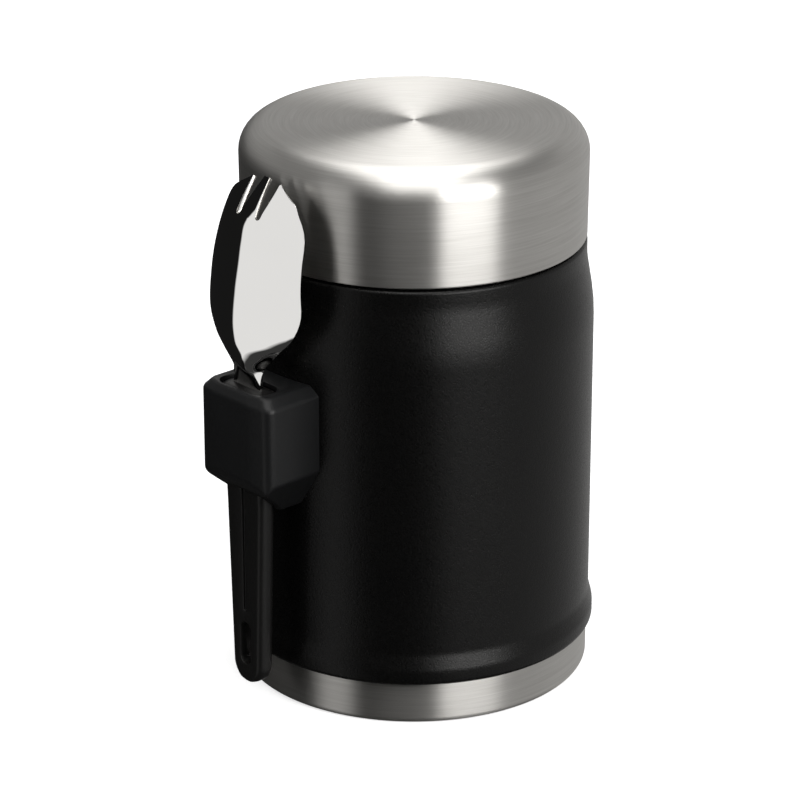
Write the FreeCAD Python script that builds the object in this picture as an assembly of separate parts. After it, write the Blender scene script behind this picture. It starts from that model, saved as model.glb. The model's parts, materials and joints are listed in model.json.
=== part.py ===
"""Insulated food jar with a screw-on lid and a spork stowed in a holder on its side.

Millimetres, +Z up. The origin is on the jar's axis at the plane that the jar stands on.
The spork holder is on the -Y side.
"""
import FreeCAD, Part
import math
import os

from FreeCAD import Vector

AXIS_START = Vector(0, 0, 0)
UP = Vector(0, 0, 1)
OUTWARD = Vector(0, -1, 0)

# A full-round end is drawn this much short of half its width
NEARLY_FULL = 0.98

# Clearances
weld_gap = 0.05
assembly_gap = 0.1
running_gap = 0.3
thread_gap = 0.4
cut_margin = 1.0

# Jar: heights
lid_edge_height = 120.0
lid_height = 30.0
lid_seam = 0.6
lip_drop = 8.8
bead_bottom = 11.6
bead_height = 9.0
bead_lower_height = 4.4

# Jar: radii and the steps between them
body_radius = 47.25
shoulder_step = 2.05
neck_step = 4.0
lip_width = 3.2
bead_swell = 1.15
base_step = 0.45

# Jar: sheet thicknesses
shell_wall = 0.6
liner_wall = 0.5
base_wall = 0.6
disc_wall = 0.6
foil_wall = 0.15

# Jar: curves of the pressed sheet
shoulder_straight = 5.1
shoulder_slope = 12.5
shoulder_edge_rounding = 1.0
slope_bottom_rounding = 50.0
slope_top_rounding = 20.0
bead_edge_rounding = 1.4
bead_crest_rounding = 12.0
bead_foot_rounding = 14.0
liner_bottom_height = 12.4
liner_bottom_rounding = 12.0
lip_rounding = 1.0
base_overlap = 5.4
base_rounding = 1.8
foot_rounding = 1.2
foot_width = 10.3
foot_recess = 2.2

# Vacuum space
disc_height = 8.0
disc_flange_inset = 10.25
disc_dish_rounding = 5.0
disc_flange_rounding = 2.0
disc_dish_height = 10.6
disc_flange_height = 5.4
foil_bottom_gap = 2.0
foil_top_gap = 29.2
getter_radius = 5.0
getter_thickness = 1.6
getter_offset = 18.0
clip_wall = 0.3
clip_height = 1.2
seal_radius = 4.0
seal_height = 1.6

# Screw thread of the neck and the lid: two starts, right-handed
thread_starts = 2
thread_lead = 10.0
thread_turns = 0.8
thread_height = 1.2
thread_base_width = 2.6
thread_crest_width = 1.2
thread_start_height = 7.1
thread_root_sink = 0.3

# Lid
lid_inset = 0.05
lid_flare = 0.35
lid_corner_rounding = 7.5
lid_edge_rounding = 0.6
lid_wall = 0.5
lid_hem = 1.0
collar_edge_rounding = 0.4
collar_top_rounding = 1.8
collar_web_thickness = 1.9
mouth_clearance = 3.0
plug_depth = 8.2
plug_wall = 1.5
plug_flange_width = 4.5
plug_corner_rounding = 3.0
foam_gap = 0.4

# Gasket
gasket_inset = 0.2
gasket_thickness = 1.7
gasket_rounding = 0.4
gasket_lip_length = 2.2
gasket_lip_thickness = 1.0

# Spork holder
holder_half_width = 13.5
holder_depth = 15.95
holder_face_bulge = 1.0
holder_corner_rounding = 3.0
holder_height = 33.5
holder_top_drop = 27.8
holder_bevel_height = 2.6
holder_bevel_side = 2.6
holder_bevel_face = 1.2
holder_front_cut_rise = 8.3
holder_front_cut_run = 9.4
holder_side_cut_run = 4.0
holder_side_cut_front_rise = 8.7
holder_side_cut_back_rise = 3.8
bracket_wall = 1.2
bracket_half_width = 8.0
bracket_margin = 5.0
screw_inset = 8.5
screw_shank_radius = 1.4
screw_head_radius = 2.6
screw_head_height = 1.5
screw_web = 1.0
nut_radius = 2.9
nut_length = 1.8

# Spork handle
handle_offset = 9.95
handle_top_drop = 0.3
handle_bottom = 9.0
handle_half_top = 8.4
handle_half_bottom = 5.7
handle_taper_start = 5.7
handle_depth_top = 7.4
handle_depth = 5.0
handle_swell = 31.9
handle_rounding_top = 3.0
handle_rounding = 1.9
groove_width = 1.2
groove_depth = 0.7
groove_rise = 20.5
hole_width = 3.9
hole_rise = 5.3
hole_length = 12.1

# Spork blade
blade_thickness = 1.2
blade_offset = 0.3
tang_half_width = 3.6
tang_length = 25.4
neck_half_width = 5.0
neck_length = 5.9
neck_rounding = 6.0
head_half_width = 17.5
head_rise = 12.4
head_rounding = 12.0
head_side_length = 23.8
head_top_half_width = 15.4
head_top_rounding = 16.0
tine_shoulder_half = 11.5
tine_shoulder_rise = 7.0
tine_shoulder_rounding = 5.0
tine_gap_rise = 2.6
tine_length = 8.2
tine_tip_half = 5.0
tine_tip_rounding = 0.4
middle_tip_half = 0.95
middle_tip_rise = 0.7
middle_tip_rounding = 0.3
tine_gap_inner = 2.9
tine_gap_outer = 4.25
tine_gap_rounding = 0.6
bowl_width = 17.0
bowl_bulge = 4.3
bowl_depth = 7.0

# Form of the bowl from the flat neck to the tips, as shares: height along the head,
# bulge of the middle line, depth of the hollow and half width
BOWL_FORM = (
    (-0.09, 0.02, 0.06, 0.28),
    (0.0, 0.47, 0.33, 0.30),
    (0.078, 0.80, 0.57, 0.50),
    (0.15, 0.98, 0.80, 0.74),
    (0.256, 0.99, 0.97, 0.95),
    (0.42, 0.76, 0.96, 0.985),
    (0.55, 0.49, 0.90, 0.96),
    (0.675, 0.23, 0.89, 0.91),
    (0.80, -0.14, 0.83, 0.82),
    (0.905, -0.93, 0.44, 0.66),
    (1.03, -2.14, 0.01, 0.30),
)

# Sizes that follow from the ones above: the jar
total_height = lid_edge_height + lid_height
shoulder_height = lid_edge_height - lid_seam
lip_height = total_height - lip_drop
bead_top = bead_bottom + bead_height
shoulder_slope_top = shoulder_height - shoulder_straight
shoulder_slope_bottom = shoulder_slope_top - shoulder_slope
base_rim_height = bead_bottom + base_overlap
shoulder_radius = body_radius - shoulder_step
neck_radius = shoulder_radius - neck_step
mouth_radius = neck_radius - lip_width
bead_radius = body_radius + bead_swell
base_radius = body_radius - base_step
foot_inner_radius = base_radius - foot_width
shell_inner = body_radius - shell_wall
liner_outer = mouth_radius + liner_wall
disc_flat_radius = body_radius - disc_flange_inset
disc_flange_bottom = disc_height + disc_dish_height
disc_flange_top = disc_flange_bottom + disc_flange_height

# Sizes that follow: the lid
lid_bottom_radius = shoulder_radius - lid_inset
lid_top_radius = lid_bottom_radius + lid_flare
thread_bottom = shoulder_height + thread_start_height
thread_pitch = thread_lead / thread_starts
thread_rise = thread_lead * thread_turns
collar_inner = neck_radius + thread_height + thread_gap
collar_outer = lid_bottom_radius - lid_wall - assembly_gap
collar_web_bottom = lip_height + running_gap + gasket_thickness + running_gap
collar_web_top = collar_web_bottom + collar_web_thickness
collar_web_inner_radius = mouth_radius - mouth_clearance
plug_bottom_height = lip_height - plug_depth
plug_flange_radius = collar_web_inner_radius + plug_flange_width
gasket_outer_radius = neck_radius - gasket_inset

# Sizes that follow: the holder
holder_top = lid_edge_height - holder_top_drop
holder_bottom = holder_top - holder_height
holder_back = body_radius + assembly_gap
holder_face = body_radius + holder_depth
bracket_inner = body_radius + weld_gap
bracket_outer = bracket_inner + bracket_wall
screw_heights = (holder_bottom + screw_inset, holder_top - screw_inset)
nut_end = bracket_outer + nut_length
screw_seat = nut_end + screw_web

# Sizes that follow: the spork
handle_centre = body_radius + handle_offset
handle_top = holder_top - handle_top_drop
handle_depth_end = handle_top - handle_swell
handle_taper_end = handle_bottom + handle_taper_start
hole_bottom = handle_bottom + hole_rise
hole_top = hole_bottom + hole_length
groove_bottom = handle_bottom + groove_rise
slot_back = handle_centre - handle_depth_top / 2 - running_gap
blade_plane = handle_centre + blade_offset
tang_bottom = handle_top - tang_length
neck_top = handle_top + neck_length
head_bottom = neck_top + head_rise
head_side_top = head_bottom + head_side_length
tine_shoulder_height = head_side_top + tine_shoulder_rise
tine_gap_bottom = head_side_top + tine_gap_rise
tine_tip_height = tine_gap_bottom + tine_length
middle_tip_height = tine_tip_height + middle_tip_rise
head_length = middle_tip_height - neck_top


def rounded_wire(corners):
    """Closed wire in the XZ plane through (x, z, rounding) corners, each rounded by a tangent arc."""
    points = [Vector(x, 0, z) for x, z, _ in corners]
    count = len(points)
    starts = []
    ends = []
    edges = []
    arcs = []
    for i, here in enumerate(points):
        rounding = corners[i][2]
        if rounding <= 0:
            starts.append(here)
            ends.append(here)
            arcs.append(None)
            continue
        back = (points[i - 1] - here).normalize()
        ahead = (points[(i + 1) % count] - here).normalize()
        half_turn = (math.pi - back.getAngle(ahead)) / 2
        reach = rounding * math.tan(half_turn)
        bisector = (back + ahead).normalize()
        middle = here + bisector * (rounding / math.cos(half_turn) - rounding)
        starts.append(here + back * reach)
        ends.append(here + ahead * reach)
        arcs.append(Part.Arc(starts[-1], middle, ends[-1]).toShape())
    for i in range(count):
        if arcs[i] is not None:
            edges.append(arcs[i])
        following = starts[(i + 1) % count]
        if ends[i].distanceToPoint(following) > 1e-6:
            edges.append(Part.LineSegment(ends[i], following).toShape())
    return Part.Wire(edges)


def beside(path, wall):
    """The same open path moved by wall to the left of its direction, its roundings concentric."""
    points = [Vector(x, 0, z) for x, z, _ in path]
    last = len(points) - 1
    moved = []
    for i, here in enumerate(points):
        before = (here - points[i - 1]).normalize() if i > 0 else None
        after = (points[i + 1] - here).normalize() if i < last else None
        before = before or after
        after = after or before
        left_before = Vector(-before.z, 0, before.x)
        left_after = Vector(-after.z, 0, after.x)
        shift = (left_before + left_after) * (wall / (1 + left_before.dot(left_after)))
        turns_left = before.x * after.z - before.z * after.x > 0
        rounding = path[i][2]
        if rounding > 0:
            rounding = max(rounding - wall, 0.05) if turns_left else rounding + wall
        moved.append((here.x + shift.x, here.z + shift.z, rounding))
    return moved


def turned(corners):
    """Solid of revolution about the jar's axis from a closed (radius, height, rounding) outline."""
    return Part.Face(rounded_wire(corners)).revolve(AXIS_START, UP, 360)


def sheet_turned(path, wall):
    """Pressed sheet: an open outline given a wall on its left and turned about the axis."""
    other_side = beside(path, wall)
    other_side.reverse()
    return turned(list(path) + other_side)


def tube(inner, outer, bottom, top):
    """Plain ring about the jar's axis."""
    return turned([(inner, bottom, 0), (outer, bottom, 0), (outer, top, 0), (inner, top, 0)])


def rod(radius, start, end, across=0.0, height=0.0):
    """Cylinder that points outward from the jar, between two distances from its axis."""
    return Part.makeCylinder(radius, end - start, Vector(across, -start, height), OUTWARD)


def plate(wire, inner, outer):
    """Prism of an XZ wire, between two distances from the jar's axis on the holder's side."""
    face = Part.Face(wire)
    face.translate(Vector(0, -inner, 0))
    return face.extrude(OUTWARD * (outer - inner))


def thread_ridge(root, outward, bottom):
    """One start of a screw thread: a ridge that stands out from root by thread_height."""
    sink = -thread_root_sink * outward
    base = thread_base_width / 2
    crest = thread_crest_width / 2
    height = thread_height * outward
    helix = Part.makeHelix(thread_lead, thread_rise, root)
    helix.translate(Vector(0, 0, bottom))
    outline = Part.makePolygon([
        Vector(root + sink, 0, bottom - base),
        Vector(root, 0, bottom - base),
        Vector(root + height, 0, bottom - crest),
        Vector(root + height, 0, bottom + crest),
        Vector(root, 0, bottom + base),
        Vector(root + sink, 0, bottom + base),
        Vector(root + sink, 0, bottom - base),
    ])
    return Part.Wire(helix.Edges).makePipeShell([outline], True, True)


def threaded(ring, root, outward, bottom):
    """A ring with every start of the screw thread on its face at root."""
    for start in range(thread_starts):
        ridge = thread_ridge(root, outward, bottom)
        ridge.rotate(AXIS_START, UP, 360 * start / thread_starts)
        ring = ring.fuse(ridge)
    return ring.removeSplitter()


def outer_shell():
    """Painted steel shell with its bead, sloping shoulder and threaded neck."""
    path = [
        (base_radius + weld_gap, bead_bottom, 0),
        (bead_radius, bead_bottom, bead_edge_rounding),
        (bead_radius, bead_bottom + bead_lower_height, bead_crest_rounding),
        (body_radius, bead_top, bead_foot_rounding),
        (body_radius, shoulder_slope_bottom, slope_bottom_rounding),
        (shoulder_radius, shoulder_slope_top, slope_top_rounding),
        (shoulder_radius, shoulder_height, shoulder_edge_rounding),
        (neck_radius, shoulder_height, shoulder_edge_rounding),
        (neck_radius, lip_height - liner_wall, 0),
    ]
    return threaded(sheet_turned(path, shell_wall), neck_radius, 1, thread_bottom)


def inner_liner():
    """Seamless food vessel, whose rim turns out over the neck as the drinking lip."""
    path = [
        (neck_radius, lip_height, 0),
        (mouth_radius, lip_height, lip_rounding),
        (mouth_radius, liner_bottom_height + liner_wall, liner_bottom_rounding),
        (0, liner_bottom_height + liner_wall, 0),
    ]
    return sheet_turned(path, liner_wall)


def radiation_foil():
    """Thin bright foil wrapped round the liner inside the vacuum."""
    inner = liner_outer + weld_gap
    bottom = disc_flange_top + foil_bottom_gap
    return tube(inner, inner + foil_wall, bottom, lip_height - foil_top_gap)


def vacuum_disc():
    """Dished disc that closes the bottom of the vacuum space."""
    rim = shell_inner - weld_gap
    path = [
        (0, disc_height, 0),
        (disc_flat_radius, disc_height, disc_dish_rounding),
        (rim, disc_flange_bottom, disc_flange_rounding),
        (rim, disc_flange_top, 0),
    ]
    return sheet_turned(path, disc_wall)


def getter():
    """Gas-absorbing pellet inside the vacuum."""
    floor = disc_height + disc_wall + clip_wall
    return Part.makeCylinder(getter_radius, getter_thickness, Vector(getter_offset, 0, floor))


def getter_clip():
    """Small tray that holds the pellet on the disc."""
    floor = disc_height + disc_wall
    outer = getter_radius + weld_gap + clip_wall
    tray = Part.makeCylinder(outer, clip_wall + clip_height, Vector(getter_offset, 0, floor))
    hollow_floor = Vector(getter_offset, 0, floor + clip_wall)
    return tray.cut(Part.makeCylinder(outer - clip_wall, clip_height + cut_margin, hollow_floor))


def vacuum_seal():
    """Bead that closes the pump-out point under the disc."""
    ball = Part.makeSphere(seal_radius, Vector(0, 0, disc_height + seal_radius - seal_height))
    below_disc = Part.makeCylinder(seal_radius, seal_height, Vector(0, 0, disc_height - seal_height))
    return ball.common(below_disc)


def base_cup():
    """Bare steel cup that covers the bottom, with a standing ring round a shallow recess."""
    path = [
        (0, foot_recess, 0),
        (foot_inner_radius, foot_recess, foot_rounding),
        (foot_inner_radius + foot_recess, 0, foot_rounding),
        (base_radius, 0, base_rounding),
        (base_radius, base_rim_height, 0),
    ]
    return sheet_turned(path, base_wall)


def lid_cap():
    """Brushed steel cap of the lid, hemmed at its lower edge."""
    path = [
        (lid_bottom_radius - lid_hem, lid_edge_height, 0),
        (lid_bottom_radius, lid_edge_height, lid_edge_rounding),
        (lid_top_radius, total_height, lid_corner_rounding),
        (0, total_height, 0),
    ]
    return sheet_turned(path, lid_wall)


def lid_collar():
    """Moulded skirt inside the cap, with the lid's thread and the web above the gasket."""
    bottom = lid_edge_height + lid_wall + assembly_gap
    ring = turned([
        (collar_inner, bottom, collar_edge_rounding),
        (collar_outer, bottom, collar_edge_rounding),
        (collar_outer, collar_web_top, collar_top_rounding),
        (collar_web_inner_radius, collar_web_top, 0),
        (collar_web_inner_radius, collar_web_bottom, 0),
        (collar_inner, collar_web_bottom, 0),
    ])
    return threaded(ring, collar_inner, -1, thread_bottom - thread_pitch / 2)


def lid_plug():
    """Cup that dips into the mouth and hangs from the collar's web by its flange."""
    path = [
        (plug_flange_radius, collar_web_top, 0),
        (collar_web_inner_radius - assembly_gap, collar_web_top, 0),
        (collar_web_inner_radius - assembly_gap, plug_bottom_height, plug_corner_rounding),
        (0, plug_bottom_height, 0),
    ]
    path.reverse()
    return sheet_turned(path, plug_wall)


def lid_foam():
    """Insulating puck that fills the plug under the cap."""
    radius = collar_web_inner_radius - assembly_gap - plug_wall - foam_gap
    bottom = plug_bottom_height + plug_wall + weld_gap
    top = total_height - lid_wall - foam_gap
    return turned([(0, bottom, 0), (radius, bottom, plug_corner_rounding), (radius, top, 0), (0, top, 0)])


def lid_gasket():
    """Soft ring that lies on the lip, with a short lip down into the mouth."""
    inner = collar_web_inner_radius + running_gap
    bottom = lip_height + running_gap
    return turned([
        (inner, bottom - gasket_lip_length, 0),
        (inner + gasket_lip_thickness, bottom - gasket_lip_length, 0),
        (inner + gasket_lip_thickness, bottom, 0),
        (gasket_outer_radius, bottom, gasket_rounding),
        (gasket_outer_radius, bottom + gasket_thickness, gasket_rounding),
        (inner, bottom + gasket_thickness, 0),
    ])


def holder_outline(inset_side, inset_face, height):
    """Level outline of the holder: straight sides, rounded corners and a slightly bowed face."""
    half = holder_half_width - inset_side
    face = holder_face - inset_face
    edge = face - holder_face_bulge
    back = holder_back - holder_corner_rounding
    rounding = holder_corner_rounding
    slant = rounding * (1 - math.cos(math.pi / 4))
    lift = holder_face_bulge * rounding / half
    points = [
        (half, back), (half, edge - rounding), (half - slant, edge - slant),
        (half - rounding, edge + lift), (0, face), (rounding - half, edge + lift),
        (slant - half, edge - slant), (-half, edge - rounding), (-half, back),
    ]
    spots = [Vector(x, -y, height) for x, y in points]
    return Part.Wire([
        Part.LineSegment(spots[0], spots[1]).toShape(),
        Part.Arc(spots[1], spots[2], spots[3]).toShape(),
        Part.Arc(spots[3], spots[4], spots[5]).toShape(),
        Part.Arc(spots[5], spots[6], spots[7]).toShape(),
        Part.LineSegment(spots[7], spots[8]).toShape(),
        Part.LineSegment(spots[8], spots[0]).toShape(),
    ])


def handle_half_width(height):
    """Half the handle's width at a height: an even taper along its length."""
    slope = (handle_half_top - handle_half_bottom) / (handle_top - handle_taper_end)
    return handle_half_bottom + slope * (height - handle_taper_end)


def stadium(half_width, depth, rounding, centre, height):
    """Level rectangle with rounded corners, centred at a distance from the jar's axis."""
    back = centre - depth / 2
    front = centre + depth / 2
    corners = [
        (-half_width, back, rounding),
        (half_width, back, rounding),
        (half_width, front, rounding),
        (-half_width, front, rounding),
    ]
    wire = rounded_wire(corners)
    wire.rotate(AXIS_START, Vector(1, 0, 0), 90)
    wire.translate(Vector(0, 0, height))
    return wire


def handle_form(extra, bottom, top):
    """Tapered bar of the handle, grown by extra all round: the handle, or the slot it fits."""
    levels = [bottom, top]
    if bottom < handle_depth_end < top:
        levels = [bottom, handle_depth_end, top]
    sections = []
    for height in levels:
        share = max((height - handle_depth_end) / handle_swell, 0)
        depth = handle_depth + share * (handle_depth_top - handle_depth)
        rounding = handle_rounding + share * (handle_rounding_top - handle_rounding)
        half = handle_half_width(height) + extra
        sections.append(stadium(half, depth + 2 * extra, rounding + extra, handle_centre, height))
    return Part.makeLoft(sections, True, True)


def block_beyond(first, second, third, reach):
    """Block on the outer side of the plane through three points, which turn left seen from outside."""
    outward = (second - first).cross(third - first).normalize()
    block = Part.makeBox(2 * reach, 2 * reach, reach, Vector(-reach, -reach, 0))
    block.Placement = FreeCAD.Placement(first, FreeCAD.Rotation(UP, outward))
    return block


def holder_under_cuts():
    """Blocks that cut the holder's underside away in a deep front slope and two side slopes."""
    half = holder_half_width
    run_in = holder_face - holder_front_cut_run
    rise = holder_bottom + holder_front_cut_rise
    cuts = [block_beyond(
        Vector(-half, -run_in, holder_bottom), Vector(half, -run_in, holder_bottom), Vector(half, -holder_face, rise),
        holder_height,
    )]
    for side in (-1, 1):
        back = Vector(side * half, -holder_back, holder_bottom + holder_side_cut_back_rise)
        front = Vector(side * half, -holder_face, holder_bottom + holder_side_cut_front_rise)
        under = Vector(side * (half - holder_side_cut_run), -run_in, holder_bottom)
        points = (back, front, under) if side > 0 else (back, under, front)
        cuts.append(block_beyond(*points, holder_height))
    return cuts


def holder_body():
    """Moulded block on the jar's side, with the tapered slot that the handle drops into."""
    levels = [
        (0, 0, holder_bottom),
        (0, 0, holder_top - holder_bevel_height),
        (holder_bevel_side, holder_bevel_face, holder_top),
    ]
    block = Part.makeLoft([holder_outline(*level) for level in levels], True, True)
    for cutter in holder_under_cuts():
        block = block.cut(cutter)
    block = block.cut(Part.makeCylinder(holder_back, total_height))
    block = block.cut(handle_form(running_gap, holder_bottom - cut_margin, holder_top + cut_margin))
    block = block.cut(bracket_blank(assembly_gap))
    for height in screw_heights:
        nut_room = rod(nut_radius + assembly_gap, holder_back - cut_margin, nut_end + assembly_gap, height=height)
        shank_room = rod(screw_shank_radius + assembly_gap, holder_back, handle_centre, height=height)
        head_room = rod(screw_head_radius + assembly_gap, screw_seat, handle_centre, height=height)
        block = block.cut(nut_room).cut(shank_room).cut(head_room)
    return block


def bracket_blank(extra):
    """Curved plate that follows the jar's wall, grown by extra at its edges and outer face."""
    bottom = holder_bottom + bracket_margin - extra
    top = holder_top - bracket_margin + extra
    half = bracket_half_width + extra
    ring = tube(bracket_inner, bracket_outer + extra, bottom, top)
    reach = bracket_outer + extra + cut_margin
    window = Part.makeBox(2 * half, reach, top - bottom, Vector(-half, -reach, bottom))
    return ring.common(window)


def holder_bracket():
    """Steel plate welded to the jar's wall, drilled for the holder's two screws."""
    bracket = bracket_blank(0)
    for height in screw_heights:
        hole = rod(screw_shank_radius + assembly_gap, body_radius - cut_margin, nut_end, height=height)
        bracket = bracket.cut(hole)
    return bracket


def holder_nuts():
    """Two round nuts pressed on the bracket."""
    bore = screw_shank_radius + weld_gap
    nuts = []
    for height in screw_heights:
        nut = rod(nut_radius, bracket_outer + weld_gap, nut_end, height=height)
        nuts.append(nut.cut(rod(bore, bracket_outer - cut_margin, nut_end + cut_margin, height=height)))
    return Part.makeCompound(nuts)


def holder_screws():
    """Two pan-head screws through the back of the slot into the nuts."""
    screws = []
    for height in screw_heights:
        head = rod(screw_head_radius, screw_seat, screw_seat + screw_head_height, height=height)
        socket = rod(screw_head_radius / 2, screw_seat + screw_head_height / 2, slot_back + cut_margin, height=height)
        shank = rod(screw_shank_radius, bracket_inner + assembly_gap, screw_seat, height=height)
        screws.append(head.cut(socket).fuse(shank).removeSplitter())
    return Part.makeCompound(screws)


def round_ended(half, bottom, top):
    """Upright slot outline, full-round at both ends."""
    end = half * NEARLY_FULL
    return rounded_wire([(-half, bottom, end), (half, bottom, end), (half, top, end), (-half, top, end)])


def spork_handle():
    """Moulded handle with a rounded end, a groove down its face and a hanging hole."""
    bar = handle_form(0, handle_bottom - cut_margin, handle_top)
    bottom_half = handle_half_width(handle_bottom)
    top_half = handle_half_top + cut_margin
    outline = rounded_wire([
        (-bottom_half, handle_bottom, bottom_half * NEARLY_FULL),
        (bottom_half, handle_bottom, bottom_half * NEARLY_FULL),
        (top_half, handle_top, 0),
        (-top_half, handle_top, 0),
    ])
    deep = handle_depth_top
    bar = bar.common(plate(outline, handle_centre - deep, handle_centre + deep))
    hole = round_ended(hole_width / 2, hole_bottom, hole_top)
    bar = bar.cut(plate(hole, handle_centre - deep, handle_centre + deep))
    groove = round_ended(groove_width / 2, groove_bottom, handle_depth_end)
    face = handle_centre + handle_depth / 2
    bar = bar.cut(plate(groove, face - groove_depth, face + deep))
    pocket = Part.makeBox(
        2 * (tang_half_width + weld_gap),
        blade_thickness + 2 * weld_gap,
        tang_length + weld_gap + cut_margin,
        Vector(-tang_half_width - weld_gap, -blade_plane - blade_thickness / 2 - weld_gap, tang_bottom - weld_gap),
    )
    return bar.cut(pocket)


def blade_section(height, middle, drop, half):
    """Level section of the bowl's sheet: concentric arcs that fall away by drop at half its width."""
    radius = (half * half + drop * drop) / (2 * drop)
    reach = math.asin(half / radius) + cut_margin / radius
    centre = middle - radius
    corners = []
    for arc_radius in (radius - blade_thickness / 2, radius + blade_thickness / 2):
        for angle in (-reach, 0, reach):
            distance = centre + arc_radius * math.cos(angle)
            corners.append(Vector(arc_radius * math.sin(angle), -distance, height))
    left_in, mid_in, right_in, left_out, mid_out, right_out = corners
    return Part.Wire([
        Part.Arc(left_in, mid_in, right_in).toShape(),
        Part.LineSegment(right_in, right_out).toShape(),
        Part.Arc(right_out, mid_out, left_out).toShape(),
        Part.LineSegment(left_out, left_in).toShape(),
    ])


def blade_outline():
    """Flat outline of the blade: tang, neck, head and three tines."""
    right = [
        (tang_half_width, tang_bottom, 0),
        (tang_half_width, handle_top + weld_gap, 0),
        (neck_half_width, handle_top + weld_gap, 0),
        (neck_half_width, neck_top, neck_rounding),
        (head_half_width, head_bottom, head_rounding),
        (head_top_half_width, head_side_top, head_top_rounding),
        (tine_shoulder_half, tine_shoulder_height, tine_shoulder_rounding),
        (tine_tip_half, tine_tip_height, tine_tip_rounding),
        (tine_gap_outer, tine_gap_bottom, tine_gap_rounding),
        (tine_gap_inner, tine_gap_bottom, tine_gap_rounding),
        (middle_tip_half, middle_tip_height, middle_tip_rounding),
    ]
    left = [(-x, z, rounding) for x, z, rounding in reversed(right)]
    return rounded_wire(right + left)


def spork_blade():
    """Polished steel blade: tang, flat neck, and a bowl whose back faces out, cut into three tines."""
    sections = []
    for along, bulge, depth, width in BOWL_FORM:
        sections.append(blade_section(
            neck_top + along * head_length,
            blade_plane + bulge * bowl_bulge,
            depth * bowl_depth,
            width * bowl_width,
        ))
    bowl_sheet = Part.makeLoft(sections, True, False)
    bowl_start = neck_top + BOWL_FORM[0][0] * head_length
    half = tang_half_width + neck_half_width
    flat_sheet = Part.makeBox(
        2 * half, blade_thickness, bowl_start - tang_bottom + cut_margin + weld_gap,
        Vector(-half, -blade_plane - blade_thickness / 2, tang_bottom - cut_margin),
    )
    cutter = plate(blade_outline(), mouth_radius, holder_face + cut_margin)
    return bowl_sheet.common(cutter).fuse(flat_sheet.common(cutter)).removeSplitter()


PIECES = (
    outer_shell, inner_liner, radiation_foil, vacuum_disc, getter, getter_clip, vacuum_seal,
    base_cup, holder_bracket, holder_nuts, holder_screws, holder_body,
    lid_gasket, lid_cap, lid_collar, lid_plug, lid_foam, spork_blade, spork_handle,
)


def main():
    """Write each piece to its own file."""
    os.makedirs("parts", exist_ok=True)
    for piece in PIECES:
        shape = piece()
        name = piece.__name__
        print(name, "valid" if shape.isValid() else "NOT VALID", len(shape.Solids), round(shape.Volume, 1))
        shape.exportStep(f"parts/{name}.step")


main()
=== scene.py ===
"""Looks of an insulated food jar with a screw-on steel lid and a spork in a side holder.

Sizes are in millimetres, as on a drawing, and are turned into metres where a mesh is placed.
The holder is on the -Y side of the jar and +Z is up.
"""

import json
import logging
import math
from dataclasses import dataclass, field, fields
from enum import Enum
from typing import Callable, Iterable, Sequence

import bmesh
import bpy
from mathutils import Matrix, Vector

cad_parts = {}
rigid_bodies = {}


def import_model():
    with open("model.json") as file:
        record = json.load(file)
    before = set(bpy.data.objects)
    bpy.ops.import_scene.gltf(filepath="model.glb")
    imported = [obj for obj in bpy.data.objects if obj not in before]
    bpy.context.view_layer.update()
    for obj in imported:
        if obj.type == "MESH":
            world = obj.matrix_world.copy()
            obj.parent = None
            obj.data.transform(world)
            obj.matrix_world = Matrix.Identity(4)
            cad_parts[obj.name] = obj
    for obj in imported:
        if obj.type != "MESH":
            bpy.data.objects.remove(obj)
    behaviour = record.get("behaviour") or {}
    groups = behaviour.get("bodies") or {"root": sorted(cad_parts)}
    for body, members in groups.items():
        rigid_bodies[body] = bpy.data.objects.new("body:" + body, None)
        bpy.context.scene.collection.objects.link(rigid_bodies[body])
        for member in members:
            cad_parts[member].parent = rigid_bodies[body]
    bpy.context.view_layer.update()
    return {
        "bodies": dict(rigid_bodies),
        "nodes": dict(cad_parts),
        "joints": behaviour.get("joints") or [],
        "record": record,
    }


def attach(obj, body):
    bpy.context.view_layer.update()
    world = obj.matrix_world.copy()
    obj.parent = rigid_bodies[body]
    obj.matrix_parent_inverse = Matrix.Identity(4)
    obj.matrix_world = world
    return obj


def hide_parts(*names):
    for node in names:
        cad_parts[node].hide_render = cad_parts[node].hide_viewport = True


LOG = logging.getLogger("food_jar")

MM = 0.001
FULL_TURN = 2.0 * math.pi
SPIN_STEPS = 160
ARC_STEP = math.radians(9)
STRAIGHT_ENOUGH = 1e-4
LEAST_ROUNDING = 0.05
MERGE_DISTANCE = 0.002
SMOOTH_ANGLE = 35.0
NEARLY_FULL = 0.98

Corner = tuple[float, float, float]
Point = tuple[float, float]
Colour = tuple[float, float, float]


class Body(Enum):
    """The rigid bodies that a piece can ride on."""

    JAR = "jar"
    SEAL = "seal"
    LID = "lid"
    SPORK = "spork"


class Brushing(Enum):
    """Which way the brush marks of a steel piece run."""

    ROUND_THE_AXIS = "round_the_axis"
    NONE = "none"


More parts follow.
